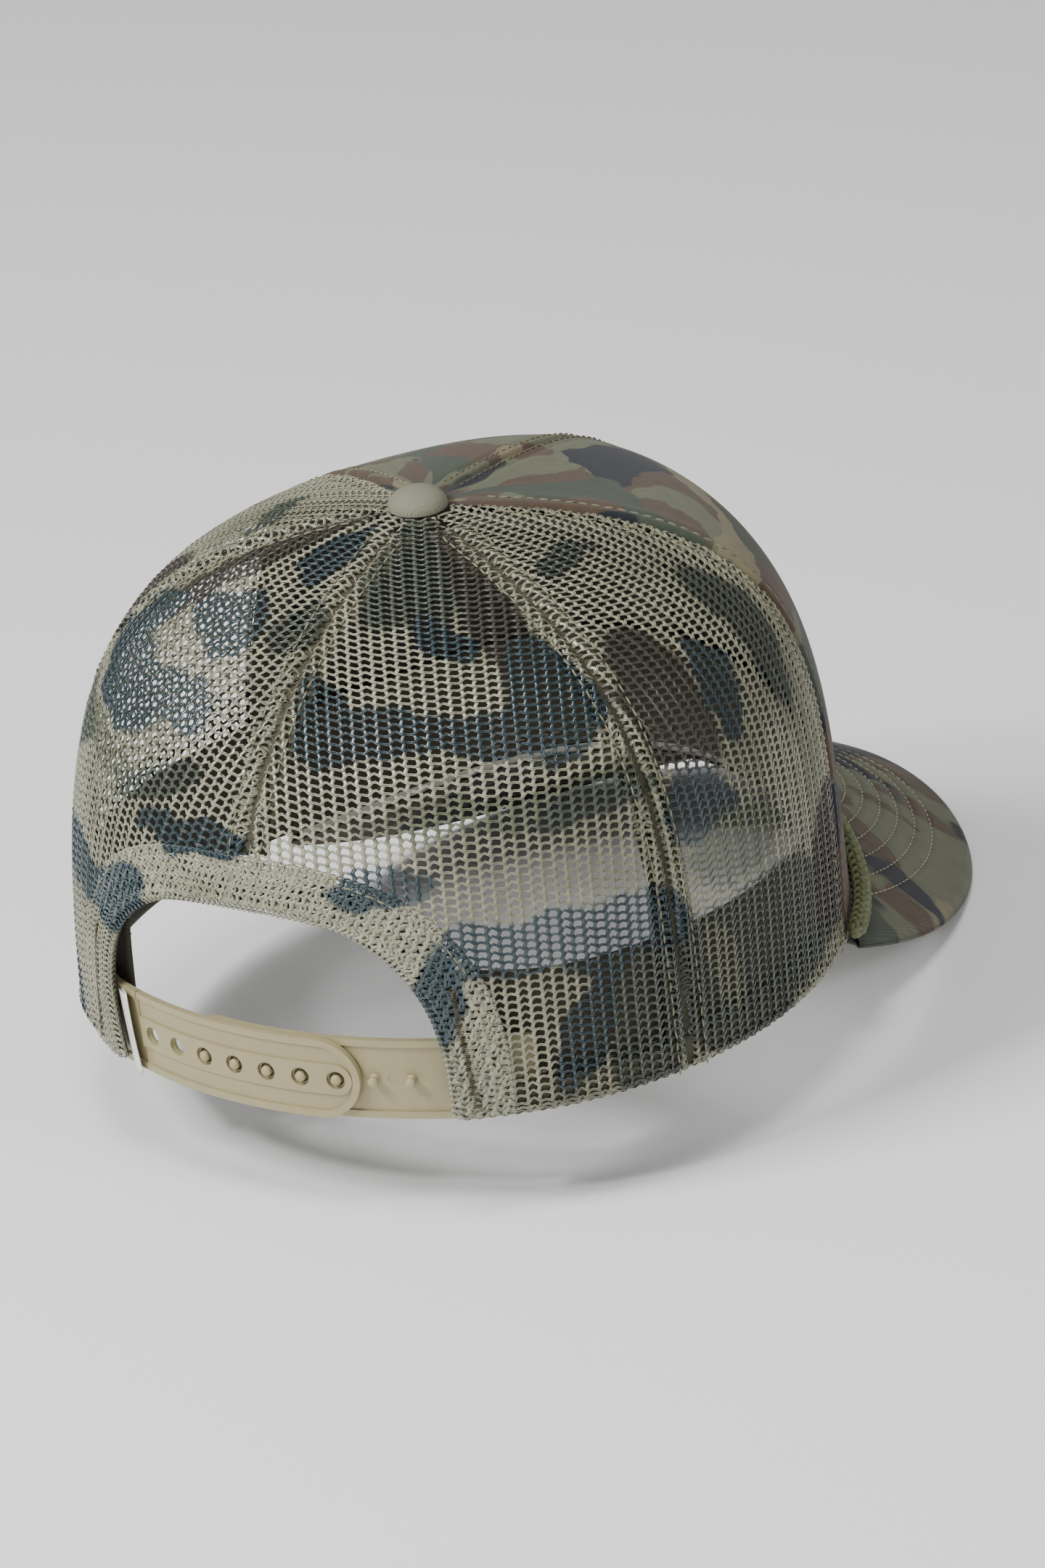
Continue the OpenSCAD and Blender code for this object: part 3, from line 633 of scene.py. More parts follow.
def drape(tree, flat_geometry, sheet):
    """Moves flat geometry, in millimetres, onto a sheet by way of the sheet's UV map."""
    place = add(tree, "GeometryNodeInputPosition")
    split = add(tree, "ShaderNodeSeparateXYZ", {0: place})
    unit_square = {0: place, 1: (1 / SPAN, 1 / SPAN, 0), 2: (0.5, 0.5, 0)}
    uv = add(tree, "ShaderNodeVectorMath", unit_square, operation="MULTIPLY_ADD")
    layout = named_attribute(tree, "flat", "FLOAT_VECTOR")
    found = {}
    for label, kind, value in (
        ("place", "FLOAT_VECTOR", add(tree, "GeometryNodeInputPosition")),
        ("normal", "FLOAT_VECTOR", add(tree, "GeometryNodeInputNormal")),
        ("print", "FLOAT_VECTOR", named_attribute(tree, "print", "FLOAT_VECTOR")),
        ("keep", "FLOAT", named_attribute(tree, "keep", "FLOAT")),
    ):
        found[label] = add(
            tree, "GeometryNodeSampleUVSurface",
            {"Mesh": sheet, "Value": value, "UV Map": layout, "Sample UV": uv}, data_type=kind,
        )
    missed = add(tree, "FunctionNodeBooleanMath", {0: found["place"].outputs["Is Valid"]}, operation="NOT")
    cut = add(tree, "FunctionNodeCompare", {0: found["keep"].outputs[0], 1: 0.0}, operation="LESS_THAN")
    drop = add(tree, "FunctionNodeBooleanMath", {0: missed, 1: cut}, operation="OR")
    waste = {"Geometry": flat_geometry, "Selection": drop}
    left = add(tree, "GeometryNodeDeleteGeometry", waste, domain="POINT")
    named = add(
        tree, "GeometryNodeStoreNamedAttribute",
        {"Geometry": left, "Name": "print", "Value": found["print"].outputs[0]},
        data_type="FLOAT_VECTOR", domain="POINT",
    )
    rise = add(tree, "ShaderNodeMath", {0: split.outputs["Z"], 1: MM}, operation="MULTIPLY")
    along_normal = {0: found["normal"].outputs[0], "Scale": rise}
    lift = add(tree, "ShaderNodeVectorMath", along_normal, operation="SCALE")
    final = add(tree, "ShaderNodeVectorMath", {0: found["place"].outputs[0], 1: lift})
    return add(tree, "GeometryNodeSetPosition", {"Geometry": named, "Position": final})


def finish_tree(tree, geometry, material, output):
    """Ends a tree as every tree here ends: real, smooth and with its material."""
    real = add(tree, "GeometryNodeRealizeInstances", {0: geometry})
    smooth = add(tree, "GeometryNodeSetShadeSmooth", {0: real})
    painted = add(tree, "GeometryNodeSetMaterial", {0: smooth, "Material": material})
    tree.links.new(painted.outputs[0], output.inputs[0])


# %% The knitting tree
knit_tree, given, knit_out = new_tree(
    "knit", [
        ("Sheet", "Geometry", None), ("Wale", "Float", 2.85), ("Course", "Float", 1.9),
        ("Columns", "Int", 40), ("Rows", "Int", 80),
        ("Stagger", "Float", 0.92), ("Arch", "Float", 0.22), ("Skew", "Float", 0.13),
        ("Strand", "Float", 0.15), ("Pair Gap", "Float", 0.33),
        ("Pillar Width", "Float", 1.05), ("Pillar Sway", "Float", 0.24),
        ("Pillar Depth", "Float", 0.42), ("Start X", "Float", -60.0), ("Start Y", "Float", -2.0),
        ("Turn", "Float", 0.0), ("Lift", "Float", -0.4), ("Material", "Material", None),
    ],
)
STEPS = 5  # points of a strand from one column of holes to the next


def line_of_lines(tree, short_count, short_step, long_count, long_step):
    """Parallel poly curves: a line of points, copied along another line."""
    one = add(tree, "GeometryNodeMeshLine", {"Count": short_count, "Offset": short_step})
    places = add(tree, "GeometryNodeMeshLine", {"Count": long_count, "Offset": long_step})
    copies = add(tree, "GeometryNodeInstanceOnPoints", {"Points": places, "Instance": one})
    return add(tree, "GeometryNodeRealizeInstances", {0: copies})


def math_node(tree, operation, first, second=0.0, third=0.0):
    return add(tree, "ShaderNodeMath", {0: first, 1: second, 2: third}, operation=operation)


def vector(tree, x=0.0, y=0.0, z=0.0):
    return add(tree, "ShaderNodeCombineXYZ", {0: x, 1: y, 2: z})


# The zigzag strands: y and z follow sines of x, whose period is two columns.
split = add(knit_tree, "ShaderNodeSeparateXYZ", {0: add(knit_tree, "GeometryNodeInputPosition")})
turns = math_node(knit_tree, "DIVIDE", split.outputs["X"], given["Wale"])
phase = math_node(knit_tree, "MULTIPLY", turns, math.pi)
double = math_node(knit_tree, "MULTIPLY", turns, 2 * math.pi)
swing = math_node(knit_tree, "MULTIPLY_ADD", math_node(knit_tree, "COSINE", phase), -0.5, 0.5)
zigzag = math_node(knit_tree, "MULTIPLY", swing, given["Stagger"])
over = math_node(knit_tree, "COSINE", double)
bow = math_node(knit_tree, "MULTIPLY", over, given["Arch"])
tilt = math_node(knit_tree, "MULTIPLY", math_node(knit_tree, "SINE", double), given["Skew"])
wave_y = math_node(knit_tree, "SUBTRACT", math_node(knit_tree, "ADD", zigzag, bow), tilt)
crest = math_node(knit_tree, "MULTIPLY_ADD", over, -0.5, 0.5)
wave_z = math_node(knit_tree, "MULTIPLY", crest, given["Pillar Depth"])
point_count = math_node(knit_tree, "MULTIPLY_ADD", given["Columns"], float(STEPS), 1.0)
small_step = math_node(knit_tree, "DIVIDE", given["Wale"], float(STEPS))
courses = line_of_lines(
    knit_tree, point_count, vector(knit_tree, small_step),
    given["Rows"], vector(knit_tree, y=given["Course"]),
)
ring = add(knit_tree, "GeometryNodeCurvePrimitiveCircle", {"Resolution": 4, "Radius": given["Strand"]})
half_gap = math_node(knit_tree, "MULTIPLY", given["Pair Gap"], 0.5)
strands = []
for side in (-1, 1):
    shift = math_node(knit_tree, "MULTIPLY_ADD", half_gap, float(side), wave_y)
    offset = vector(knit_tree, y=shift, z=wave_z)
    waved = add(knit_tree, "GeometryNodeSetPosition", {"Geometry": courses, "Offset": offset})
    curve = add(knit_tree, "GeometryNodeMeshToCurve", {0: waved})
    strands.append(add(knit_tree, "GeometryNodeCurveToMesh", {0: curve, "Profile Curve": ring}))

# The pillars: flat ribbons between the columns of holes, two points for each course.
half_course = math_node(knit_tree, "MULTIPLY", given["Course"], 0.5)
pillar_points = math_node(knit_tree, "MULTIPLY_ADD", given["Rows"], 2.0, 1.0)
pillars = line_of_lines(
    knit_tree, pillar_points, vector(knit_tree, y=half_course),
    given["Columns"], vector(knit_tree, given["Wale"]),
)
half_wale = math_node(knit_tree, "MULTIPLY", given["Wale"], 0.5)
place = add(knit_tree, "ShaderNodeSeparateXYZ", {0: add(knit_tree, "GeometryNodeInputPosition")})
column = math_node(knit_tree, "DIVIDE", place.outputs["X"], given["Wale"])
row = math_node(knit_tree, "DIVIDE", place.outputs["Y"], half_course)
both = math_node(knit_tree, "MULTIPLY", math_node(knit_tree, "ADD", column, row), math.pi)
sway = math_node(knit_tree, "MULTIPLY", math_node(knit_tree, "COSINE", both), given["Pillar Sway"])
shift = math_node(knit_tree, "SUBTRACT", half_wale, sway)
stand = add(knit_tree, "GeometryNodeSetPosition", {"Geometry": pillars, "Offset": vector(knit_tree, shift)})
line = add(knit_tree, "GeometryNodeMeshToCurve", {0: stand})
upright = add(knit_tree, "GeometryNodeSetCurveNormal", {"Curve": line}, mode="Z_UP")
oval = add(
    knit_tree, "GeometryNodeTransform",
    {
        "Geometry": add(knit_tree, "GeometryNodeCurvePrimitiveCircle", {"Resolution": 6, "Radius": 0.5}),
        "Scale": vector(knit_tree, given["Pillar Width"], given["Pillar Depth"], 1.0),
    },
)
strands.append(add(knit_tree, "GeometryNodeCurveToMesh", {0: upright, "Profile Curve": oval}))
joined = add(knit_tree, "GeometryNodeJoinGeometry")
for strand in strands:
    knit_tree.links.new(strand.outputs[0], joined.inputs[0])
turned = add(
    knit_tree, "GeometryNodeTransform",
    {
        "Geometry": joined,
        "Translation": vector(knit_tree, given["Start X"], given["Start Y"], given["Lift"]),
        "Rotation": vector(knit_tree, z=given["Turn"]),
    },
)
finish_tree(knit_tree, drape(knit_tree, turned, given["Sheet"]), given["Material"], knit_out)
print("the knitting tree has", len(knit_tree.nodes), "nodes")


# %% Running a tree
def run_tree(name, mesh, tree, values):
    """Runs a tree on a mesh and returns the result as a plain object at the origin."""
    carrier = link(mesh, name)
    modifier = carrier.modifiers.new("make", "NODES")
    modifier.node_group = tree
    for item in tree.interface.items_tree:
        if item.in_out == "INPUT" and item.name in values:
            modifier[item.identifier] = values[item.name]
    evaluated = carrier.evaluated_get(bpy.context.evaluated_depsgraph_get())
    made = bpy.data.meshes.new_from_object(evaluated)
    carrier.modifiers.clear()
    carrier.data = made
    made.name = name
    if not len(made.polygons):
        raise RuntimeError(name + " came out empty")
    return carrier


def flat_box(mesh):
    """Lowest and highest flat place of a sheet, in millimetres."""
    uv = np.empty(len(mesh.loops) * 2, np.float32)
    mesh.uv_layers["flat"].data.foreach_get("uv", uv)
    uv = (uv.reshape(-1, 2) - 0.5) * SPAN
    return uv.min(0), uv.max(0)


WALE, COURSE = 2.85, 1.9


def knit(name, sheet, wale=WALE, course=COURSE, lift=-0.4, shift=(0.0, 0.0), **values):
    """Knits a cloth over a sheet, with whole columns and rows that cover its flat box."""
    low, high = flat_box(sheet)
    columns = int(math.ceil((high[0] - low[0]) / wale)) + 3
    first = math.floor(low[0] / wale / 2) * wale * 2 + shift[0]
    rows = int(math.ceil((high[1] - low[1]) / course)) + 3
    start = math.floor(low[1] / course) * course - course + shift[1]
    settings = {
        "Wale": wale, "Course": course, "Columns": columns, "Rows": rows, "Start X": first, "Start Y": start,
        "Lift": lift, "Material": knit_polyester, **values,
    }
    return run_tree(name, sheet, knit_tree, settings)


pieces = {}
for node, sheet in mesh_sheets.items():
    piece = knit(node.replace("mesh", "knit"), sheet)
    pieces[piece.name] = (node, "knit_camo")
    print(piece.name, "faces", len(piece.data.polygons))

# %% [markdown]
# ## Doubled cloth: seams, hem and rim
# Beside each seam the mesh is doubled by its turned-in edge, about six
# millimetres on each side. Round the rear opening and along the rim the cloth is
# folded over. The same tree knits all of these, shifted by half a hole, so that
# the layers cross and the cloth looks dense, as it does on the real cap.

# %% Seam allowances
def beside(seam, u, offset):
    """Angles of the points that lie a distance in millimetres beside a seam."""
    centre = seam_angle(seam, u)
    for_radian = np.linalg.norm(crown(centre + 0.01, u) - crown(centre - 0.01, u), axis=-1) / 0.02
    return centre + offset / np.maximum(for_radian, 8)


def seam_grid(seam, half, depth, low=0.0, high=0.95, rows=84, cols=13, relief=1.0):
    """Angle, u, points and flat layout of a strip along a seam."""
    u = np.linspace(low, high, rows)[:, None] + np.zeros((1, cols))
    offset = np.linspace(-half, half, cols)[None, :] + 0 * u
    angle = beside(seam, u, offset)
    rise = depth + relief * seam_relief(np.abs(offset)) * np.clip((1 - u) / 0.15, 0, 1)
    climb = lengths(crown(seam_angle(seam, u[:, :1]), u[:, :1]), 0)
    flat = np.stack([offset, np.repeat(climb, cols, 1)], -1)
    return angle, u, raised(angle, u, rise), flat


MESH_SEAMS = ["front_left", "rear_left", "back", "rear_right", "front_right"]
for seam in MESH_SEAMS:
    angle, u, points, flat = seam_grid(seam, 6.2, -0.75)
    sheet = grid_mesh("allowance_sheet", points, flat, print_place(angle, u), outside_arch(points) - 1.0)
    half_hole = (WALE / 2, COURSE / 2)
    piece = knit("allowance_" + seam, sheet, 2.5, 1.7, shift=half_hole, Strand=0.17, Turn=0.12)
    pieces[piece.name] = (None, "knit_camo")
    print(piece.name, "faces", len(piece.data.polygons))


# %% Hem of the rear opening
def height_u(angle, z):
    """u of the points of the crown at a height above the rim plane."""
    angle, z = np.broadcast_arrays(np.asarray(angle, float), np.asarray(z, float))
    low, high = np.zeros_like(z), np.full_like(z, 0.8)
    for _ in range(24):
        middle = (low + high) / 2
        below = crown(angle, middle)[..., 2] < z
        low, high = np.where(below, middle, low), np.where(below, high, middle)
    return low


def arch_grid(profile, count=96):
    """A strip along the arch; profile lists how far out and how high each of its edges lies."""
    turns = np.linspace(0, math.pi, count)
    columns, places = [], []
    for grow, rise in profile:
        angle, u = arch(turns, grow)
        columns.append(raised(angle, u, rise + 0 * u))
        places.append(print_place(angle, u))
    points, place = np.stack(columns, 1), np.stack(places, 1)
    across = lengths(points, 1) / MM
    along = lengths(points[:, len(profile) // 2][:, None], 0) / MM
    return points, np.stack([across - 10, along + 0 * across - 90], -1), place


HEM = [  # how far out from the arch, and how high, across the fold
    (11.3, -0.45), (11.0, 0.1), (8.5, 0.3), (6.0, 0.25), (3.5, 0.32), (1.3, 0.22),
    (0.2, -0.25), (-0.2, -0.85), (0.2, -1.35), (1.3, -1.6), (4.5, -1.6), (8.5, -1.6),
]
points, flat, place = arch_grid(HEM)
hem_sheet = grid_mesh("hem_sheet", points, flat, place, np.ones(points.shape[:2]))
hem = knit("hem_knit", hem_sheet, wale=2.0, course=1.45, lift=-0.15, Strand=0.2, Stagger=0.7, Arch=0.3)
pieces["hem_knit"] = ("opening_hem", "knit_hem")
for number, (turn, rise) in enumerate([(0.35, 0.15), (-0.5, -0.35)]):
    points, flat, place = arch_grid([(grow, rise) for grow in (0.6, 3.0, 5.5, 8.0, 10.8)])
    layout = np.stack([points[..., 0], points[..., 2]], -1) / MM * [1.08, 1.0]
    sheet = grid_mesh("hem_layer_sheet", points, layout, place, np.ones(points.shape[:2]))
    piece = knit(f"hem_layer_{number}", sheet, 2.3, 1.6, lift=-0.15, shift=(0.4 * number, 0), Turn=turn)
    pieces[piece.name] = (None, "knit_hem")
print("hem faces", len(hem.data.polygons))

# %% Rim of the mesh
RIM = [  # height above the rim plane, and how far out, across the fold
    (9.0, -1.5), (4.5, -1.5), (0.7, -1.5), (-0.1, -1.25),
    (-0.35, -0.75), (-0.1, -0.25), (0.7, 0.02), (1.7, 0.05),
]


def rim_grid(first, last, count=120):
    """The mesh folded under along the rim, between two angles."""
    angle = np.linspace(first, last, count)
    rows, places = [], []
    for z, rise in RIM:
        u = height_u(angle, max(z, 0))
        row = raised(angle, u, rise + 0 * u)
        row[:, 2] += min(z, 0) * MM
        rows.append(row)
        places.append(print_place(angle, u))
    points = np.stack(rows)
    along = lengths(points[4][None], 1) / MM
    up = lengths(points[:, count // 2][:, None], 0) / MM
    return points, np.stack([along - along.max() / 2 + 0 * up, up + 0 * along], -1), np.stack(places)


for side, first, last in (
    ("left", math.radians(67.7), foot - 0.02),
    ("right", 2 * math.pi - foot + 0.02, math.radians(292.3)),
):
    points, flat, place = rim_grid(first, last)
    sheet = grid_mesh("rim_sheet", points, flat, place, np.ones(points.shape[:2]))
    piece = knit("rim_fold_" + side, sheet, lift=-0.2)
    pieces[piece.name] = (None, "knit_camo")
    print(piece.name, "faces", len(piece.data.polygons))

# %% [markdown]
# ## Sewn solids
# Woven cloth, foam and tape are smooth sheets with a thickness, so each is a grid
# of points and a Solidify modifier. Their edges are closed, and the thickness
# grows inwards from the outer face.

# %% Woven front, linings and tapes
def thick_sheet(name, points, flat, thickness, material, place=None):
    """A sheet with a thickness; the outer face is the one given."""
    mesh = grid_mesh(name, points, flat, flat_place(flat) if place is None else place)
    mesh.materials.append(material)
    sheet = link(mesh, name)
    wall = sheet.modifiers.new("wall", "SOLIDIFY")
    wall.thickness = thickness * MM
    wall.offset = -1
    return sheet


def flat_place(flat):
    """A flat layout in millimetres as a print attribute in metres."""
    return np.concatenate([flat, 0 * flat[..., :1]], -1) * MM


SEAMS["lining_left"], SEAMS["lining_right"] = (62.7, 53.2), (297.3, 306.8)
for side, seam, lining_seam in (
    ("left", "front_left", "lining_left"),
    ("right", "front_right", "lining_right"),
):
    seams = ("front", seam) if side == "left" else (seam, "front")
    angle, u, points, flat, _ = panel_grid(*seams, rows=110, cols=80)
    thick_sheet("front_cloth_" + side, points, flat, 0.6, poplin, print_place(angle, u))
    pieces["front_cloth_" + side] = ("front_panel_" + side, "woven_camo")
    seams = ("front", lining_seam) if side == "left" else (lining_seam, "front")
    lining = panel_grid(*seams, rows=50, cols=34, low=0.01, high=0.93, depth=-1.1, relief=0.0)
    points, flat = lining[2:4]
    thick_sheet("foam_lining_" + side, points, flat, 1.4, foam_tricot)
    pieces["foam_lining_" + side] = ("front_lining_" + side, "foam_lining")

TAPES = {  # seam: node, depth, lowest u
    "front": ("seam_tape_front", 2.8, 0.01), "front_left": ("seam_tape_front_left", 2.8, 0.01),
    "front_right": ("seam_tape_front_right", 2.8, 0.01), "rear_left": ("seam_tape_rear_left", 1.25, 0.01),
    "rear_right": ("seam_tape_rear_right", 1.25, 0.01),
    "back": ("seam_tape_back", 1.25, float(height_u(math.pi, OPENING_HEIGHT + 12))),
}
for seam, (node, depth, low) in TAPES.items():
    angle, u, points, flat = seam_grid(seam, 5.6, -depth, low=low, high=PEAK - 0.02, rows=60, relief=0.25)
    thick_sheet("tape_" + seam, points, flat, 0.45, seam_cloth)
    pieces["tape_" + seam] = (node, "tape")
points, flat, _ = arch_grid([(0.6, -2.05), (2.0, -2.0), (6.6, -2.0), (8.0, -2.05)])
thick_sheet("arch_binding", points, flat, 0.45, seam_cloth)
pieces["arch_binding"] = ("opening_binding", "tape")
print("sewn sheets:", [name for name in pieces if "knit" not in name])

# The sweatband's lower edge is turned up inside the fold of the rim.
for side, first, last in (
    ("left", math.radians(66), foot - 0.03),
    ("right", 2 * math.pi - foot + 0.03, math.radians(294)),
):
    angle = np.linspace(first, last, 120)[None, :] + np.zeros((8, 1))
    z = np.linspace(0.05, 7.0, 8)[:, None] + 0 * angle
    points = raised(angle, height_u(angle, z), -0.85 + 0 * z)
    flat = np.stack([angle * 90 - 180, z], -1)
    thick_sheet("rim_tape_" + side, points, flat, 0.35, seam_cloth)
    pieces["rim_tape_" + side] = (None, "tape")

# %% [markdown]
# ## Sweatband
# A strip of twill, thirty-two millimetres high, is sewn to the rim and lies
# inside the cap. It steps inwards near its ends, because the sewn ends of the
# straps lie between it and the mesh. Its upper edge is turned over and stitched.

# %% Sweatband
STRAP_RADIUS, STRAP_CENTRE, STRAP_HEIGHT, STRAP_LEAN = 93.0, -4.8, 8.0, 4.4
BAND_HEIGHT, BAND_DEPTH = 32.0, 3.6


def strap_step(side, turn, radius):
    """How far the sewn end of a strap pushes the sweatband inwards."""
    start = np.array([-radius * math.sin(turn), STRAP_CENTRE + radius * math.cos(turn)])
    wall = crown(side * foot, 0.05)[:2]
    return float(np.linalg.norm(wall - start)) + 1.6 - BAND_DEPTH


step_left = strap_step(1, -math.asin(43.5 / STRAP_RADIUS), STRAP_RADIUS + 0.1)
step_right = strap_step(-1, math.asin(48 / STRAP_RADIUS) + 1 / STRAP_RADIUS, STRAP_RADIUS - 1.5)
band_left, band_right = foot - math.radians(1), -foot + math.radians(5)
angle = np.linspace(band_right, band_left, 200)[None, :]
rim_x, rim_y = HALF_WIDTH * np.sin(angle), -FRONT * np.cos(angle)
rim_height = np.where(np.cos(angle) > math.cos(VISOR_HALF), np.maximum(visor_height(rim_x, rim_y), 0), 0)
top = height_u(angle, rim_height + BAND_HEIGHT)
share = np.linspace(0, 1, 34)[:, None]
u = 0.004 + (top - 0.004) * share
reach = math.radians(20)
inward = (
    BAND_DEPTH + step_left * np.clip((angle - band_left + reach) / reach, 0, None) ** 2
    + step_right * np.clip((band_right + reach - angle) / reach, 0, None) ** 2
)
pucker = 0.12 * np.sin(angle * 140) * np.exp(-(((share - 0.9) / 0.06) ** 2))
groove = 0.35 * np.exp(-(((share - 0.88) / 0.02) ** 2)) + 0.35 * np.exp(-(((share - 0.1) / 0.02) ** 2))
points = raised(angle + 0 * u, u, -(inward + 0.25 * np.sin(share * math.pi) - groove * 0.3 + pucker))
along, climb = lengths(points[17][None], 1) / MM, lengths(points[:, 100][:, None], 0) / MM
flat = np.stack([along - along.max() / 2 + 0 * climb, climb + 0 * along], -1)
thick_sheet("sweatband_twill", points, flat, 1.2, band_twill)
pieces["sweatband_twill"] = ("sweatband", "band_twill")
print("sweatband steps in by", round(step_left, 2), "and", round(step_right, 2), "mm at its ends")

# %% [markdown]
# ## Visor
# A stiff board lies between two cloth covers that meet round its edge. Rows of
# stitches, four millimetres apart, follow the edge and pull the cloth down, so
# the cover is a fine grid whose points dip near each row.

# %% Visor covers
VISOR_GAP, VISOR_THICK, TURN = 0.8, 3.8, 1.6
ROWS_OF_STITCHES = [9.3 + 4.1 * k for k in range(7)]


def visor_edge(turn, inset):
    """x and y of the visor's outline, drawn in by an inset."""
    power = 2 / VISOR_SQUARE
    x = (corner_x + 1 - inset) * np.sign(turn) * np.abs(np.sin(turn)) ** power
    return x, corner_y - (VISOR_LENGTH - inset) * np.maximum(np.cos(turn), 0) ** power


def inset_at(x, y):
    """How far inside the outline a point of the visor lies."""
    low, high = np.zeros_like(x), np.full_like(x, 75.0)
    for _ in range(22):
        middle = (low + high) / 2
        field = (np.abs(x) / (corner_x + 1 - middle)) ** VISOR_SQUARE
        field = field + (np.maximum(corner_y - y, 0) / (VISOR_LENGTH - middle)) ** VISOR_SQUARE
        low, high = np.where(field < 1, middle, low), np.where(field < 1, high, middle)
    return low


def visor_grid(side, rows=96, cols=200):
    """Points of one cover, side 1 above and -1 below, and their flat layout."""
    turn = np.radians(np.linspace(89, -89, cols) * side)[None, :]
    near_turn = turn * VISOR_HALF / (math.pi / 2)
    near_x, near_y = (HALF_WIDTH - 0.8) * np.sin(near_turn), -(FRONT - 0.8) * np.cos(near_turn)
    share = np.linspace(0, 1, rows)[:, None]
    far_x, far_y = visor_edge(turn, TURN)
    x, y = near_x * (1 - share) + far_x * share, near_y * (1 - share) + far_y * share
    inset = inset_at(x, y)
    dent = sum(np.exp(-(((inset - row) / 0.55) ** 2)) for row in ROWS_OF_STITCHES)
    puff = 0.16 * np.sin((inset - ROWS_OF_STITCHES[0]) / 4.1 * math.pi) ** 2 * (inset > 9) * (inset < 34)
    middle = VISOR_THICK / 2
    drop = middle - side * (middle - 0.45 * dent + puff)
    turned = np.radians(np.arange(1, 7) * 15.0)[:, None]
    edge_x, edge_y = visor_edge(turn + 0 * turned, TURN * (1 - np.sin(turned)))
    x, y = np.vstack([x, edge_x]), np.vstack([y, edge_y])
    drop = np.vstack([drop, middle - side * (middle * np.cos(turned) + 0.05) + 0 * turn])
    z = visor_height(x, y) - VISOR_GAP - drop
    flat = np.stack([x, y + 100], -1)
    return np.stack([x, y, z], -1) * MM, flat


for side, name, node, material, slot in (
    (1, "visor_top_cloth", "visor_top_cover", poplin, "woven_camo"),
    (-1, "visor_under_cloth", "visor_under_cover", poplin, "under_cloth"),
):
    points, flat = visor_grid(side)
    thick_sheet(name, points, flat, 0.5, material, flat_place(flat) + [0.3, 0.0, 0.05])
    pieces[name] = (node, slot)
print("visor covers with", len(ROWS_OF_STITCHES), "rows of stitches")

# %% [markdown]
# ## Stitches
# A seam is a row of short thread humps, so a Geometry Nodes tree lays one small
# rounded hump at each step along a line, pointing along it and standing on the
# cloth. The lines are plain edges that carry the cloth's direction.

# %% The stitching tree
stitch_tree, given, stitch_out = new_tree(
    "stitch", [
        ("Lines", "Geometry", None), ("Pitch", "Float", 0.003),
        ("Length", "Float", 0.0026), ("Thickness", "Float", 0.0005),
        ("Wander", "Float", 0.12), ("Seed", "Int", 3), ("Material", "Material", None),
    ],
)
curve = add(stitch_tree, "GeometryNodeMeshToCurve", {0: given["Lines"]})
pitch = {"Curve": curve, "Length": given["Pitch"]}
spots = add(stitch_tree, "GeometryNodeCurveToPoints", pitch, mode="LENGTH")
upwards = named_attribute(stitch_tree, "up", "FLOAT_VECTOR")
sway = add(
    stitch_tree, "FunctionNodeRandomValue",
    {0: (-1, -1, -1), 1: (1, 1, 1), "Seed": given["Seed"]}, data_type="FLOAT_VECTOR",
)
sway = add(stitch_tree, "ShaderNodeVectorMath", {0: sway, "Scale": given["Wander"]}, operation="SCALE")
aim = add(stitch_tree, "ShaderNodeVectorMath", {0: spots.outputs["Tangent"], 1: sway})
facing = add(
    stitch_tree, "FunctionNodeAxesToRotation", {"Primary Axis": aim, "Secondary Axis": upwards},
    primary_axis="X", secondary_axis="Z",
)
bead = add(stitch_tree, "GeometryNodeMeshUVSphere", {"Segments": 6, "Rings": 5, "Radius": 0.5})
thread_size = vector(stitch_tree, given["Length"], given["Thickness"], given["Thickness"])
rows = add(
    stitch_tree, "GeometryNodeInstanceOnPoints",
    {"Points": spots, "Instance": bead, "Rotation": facing, "Scale": thread_size},
)
finish_tree(stitch_tree, rows, given["Material"], stitch_out)


def stitch_row(name, lines, material, **values):
    """Sews rows along lines; each line is a pair of points and upward directions."""
    points, edges, ups = [], [], []
    for line, up in lines:
        start = len(points)
        points += line.tolist()
        ups += up.tolist()
        edges += [(start + i, start + i + 1) for i in range(len(line) - 1)]
    mesh = bpy.data.meshes.new(name)
    mesh.from_pydata(points, edges, [])
    mesh.attributes.new("up", "FLOAT_VECTOR", "POINT").data.foreach_set("vector", np.ravel(ups))
    return run_tree(name, mesh, stitch_tree, {"Material": material, **values})


def seam_line(seam, offset, rise, low=0.0, high=0.93, above_arch=False):
    """A line beside a seam, standing on the cloth."""
    u = np.linspace(low, high, 90)
    angle = beside(seam, u, np.full_like(u, offset))
    line = raised(angle, u, rise + seam_relief(np.abs(offset)) * np.clip((1 - u) / 0.15, 0, 1))
    chosen = outside_arch(line) > 1.0 if above_arch else np.full(len(u), True)
    return line[chosen], outward(angle, u)[chosen]


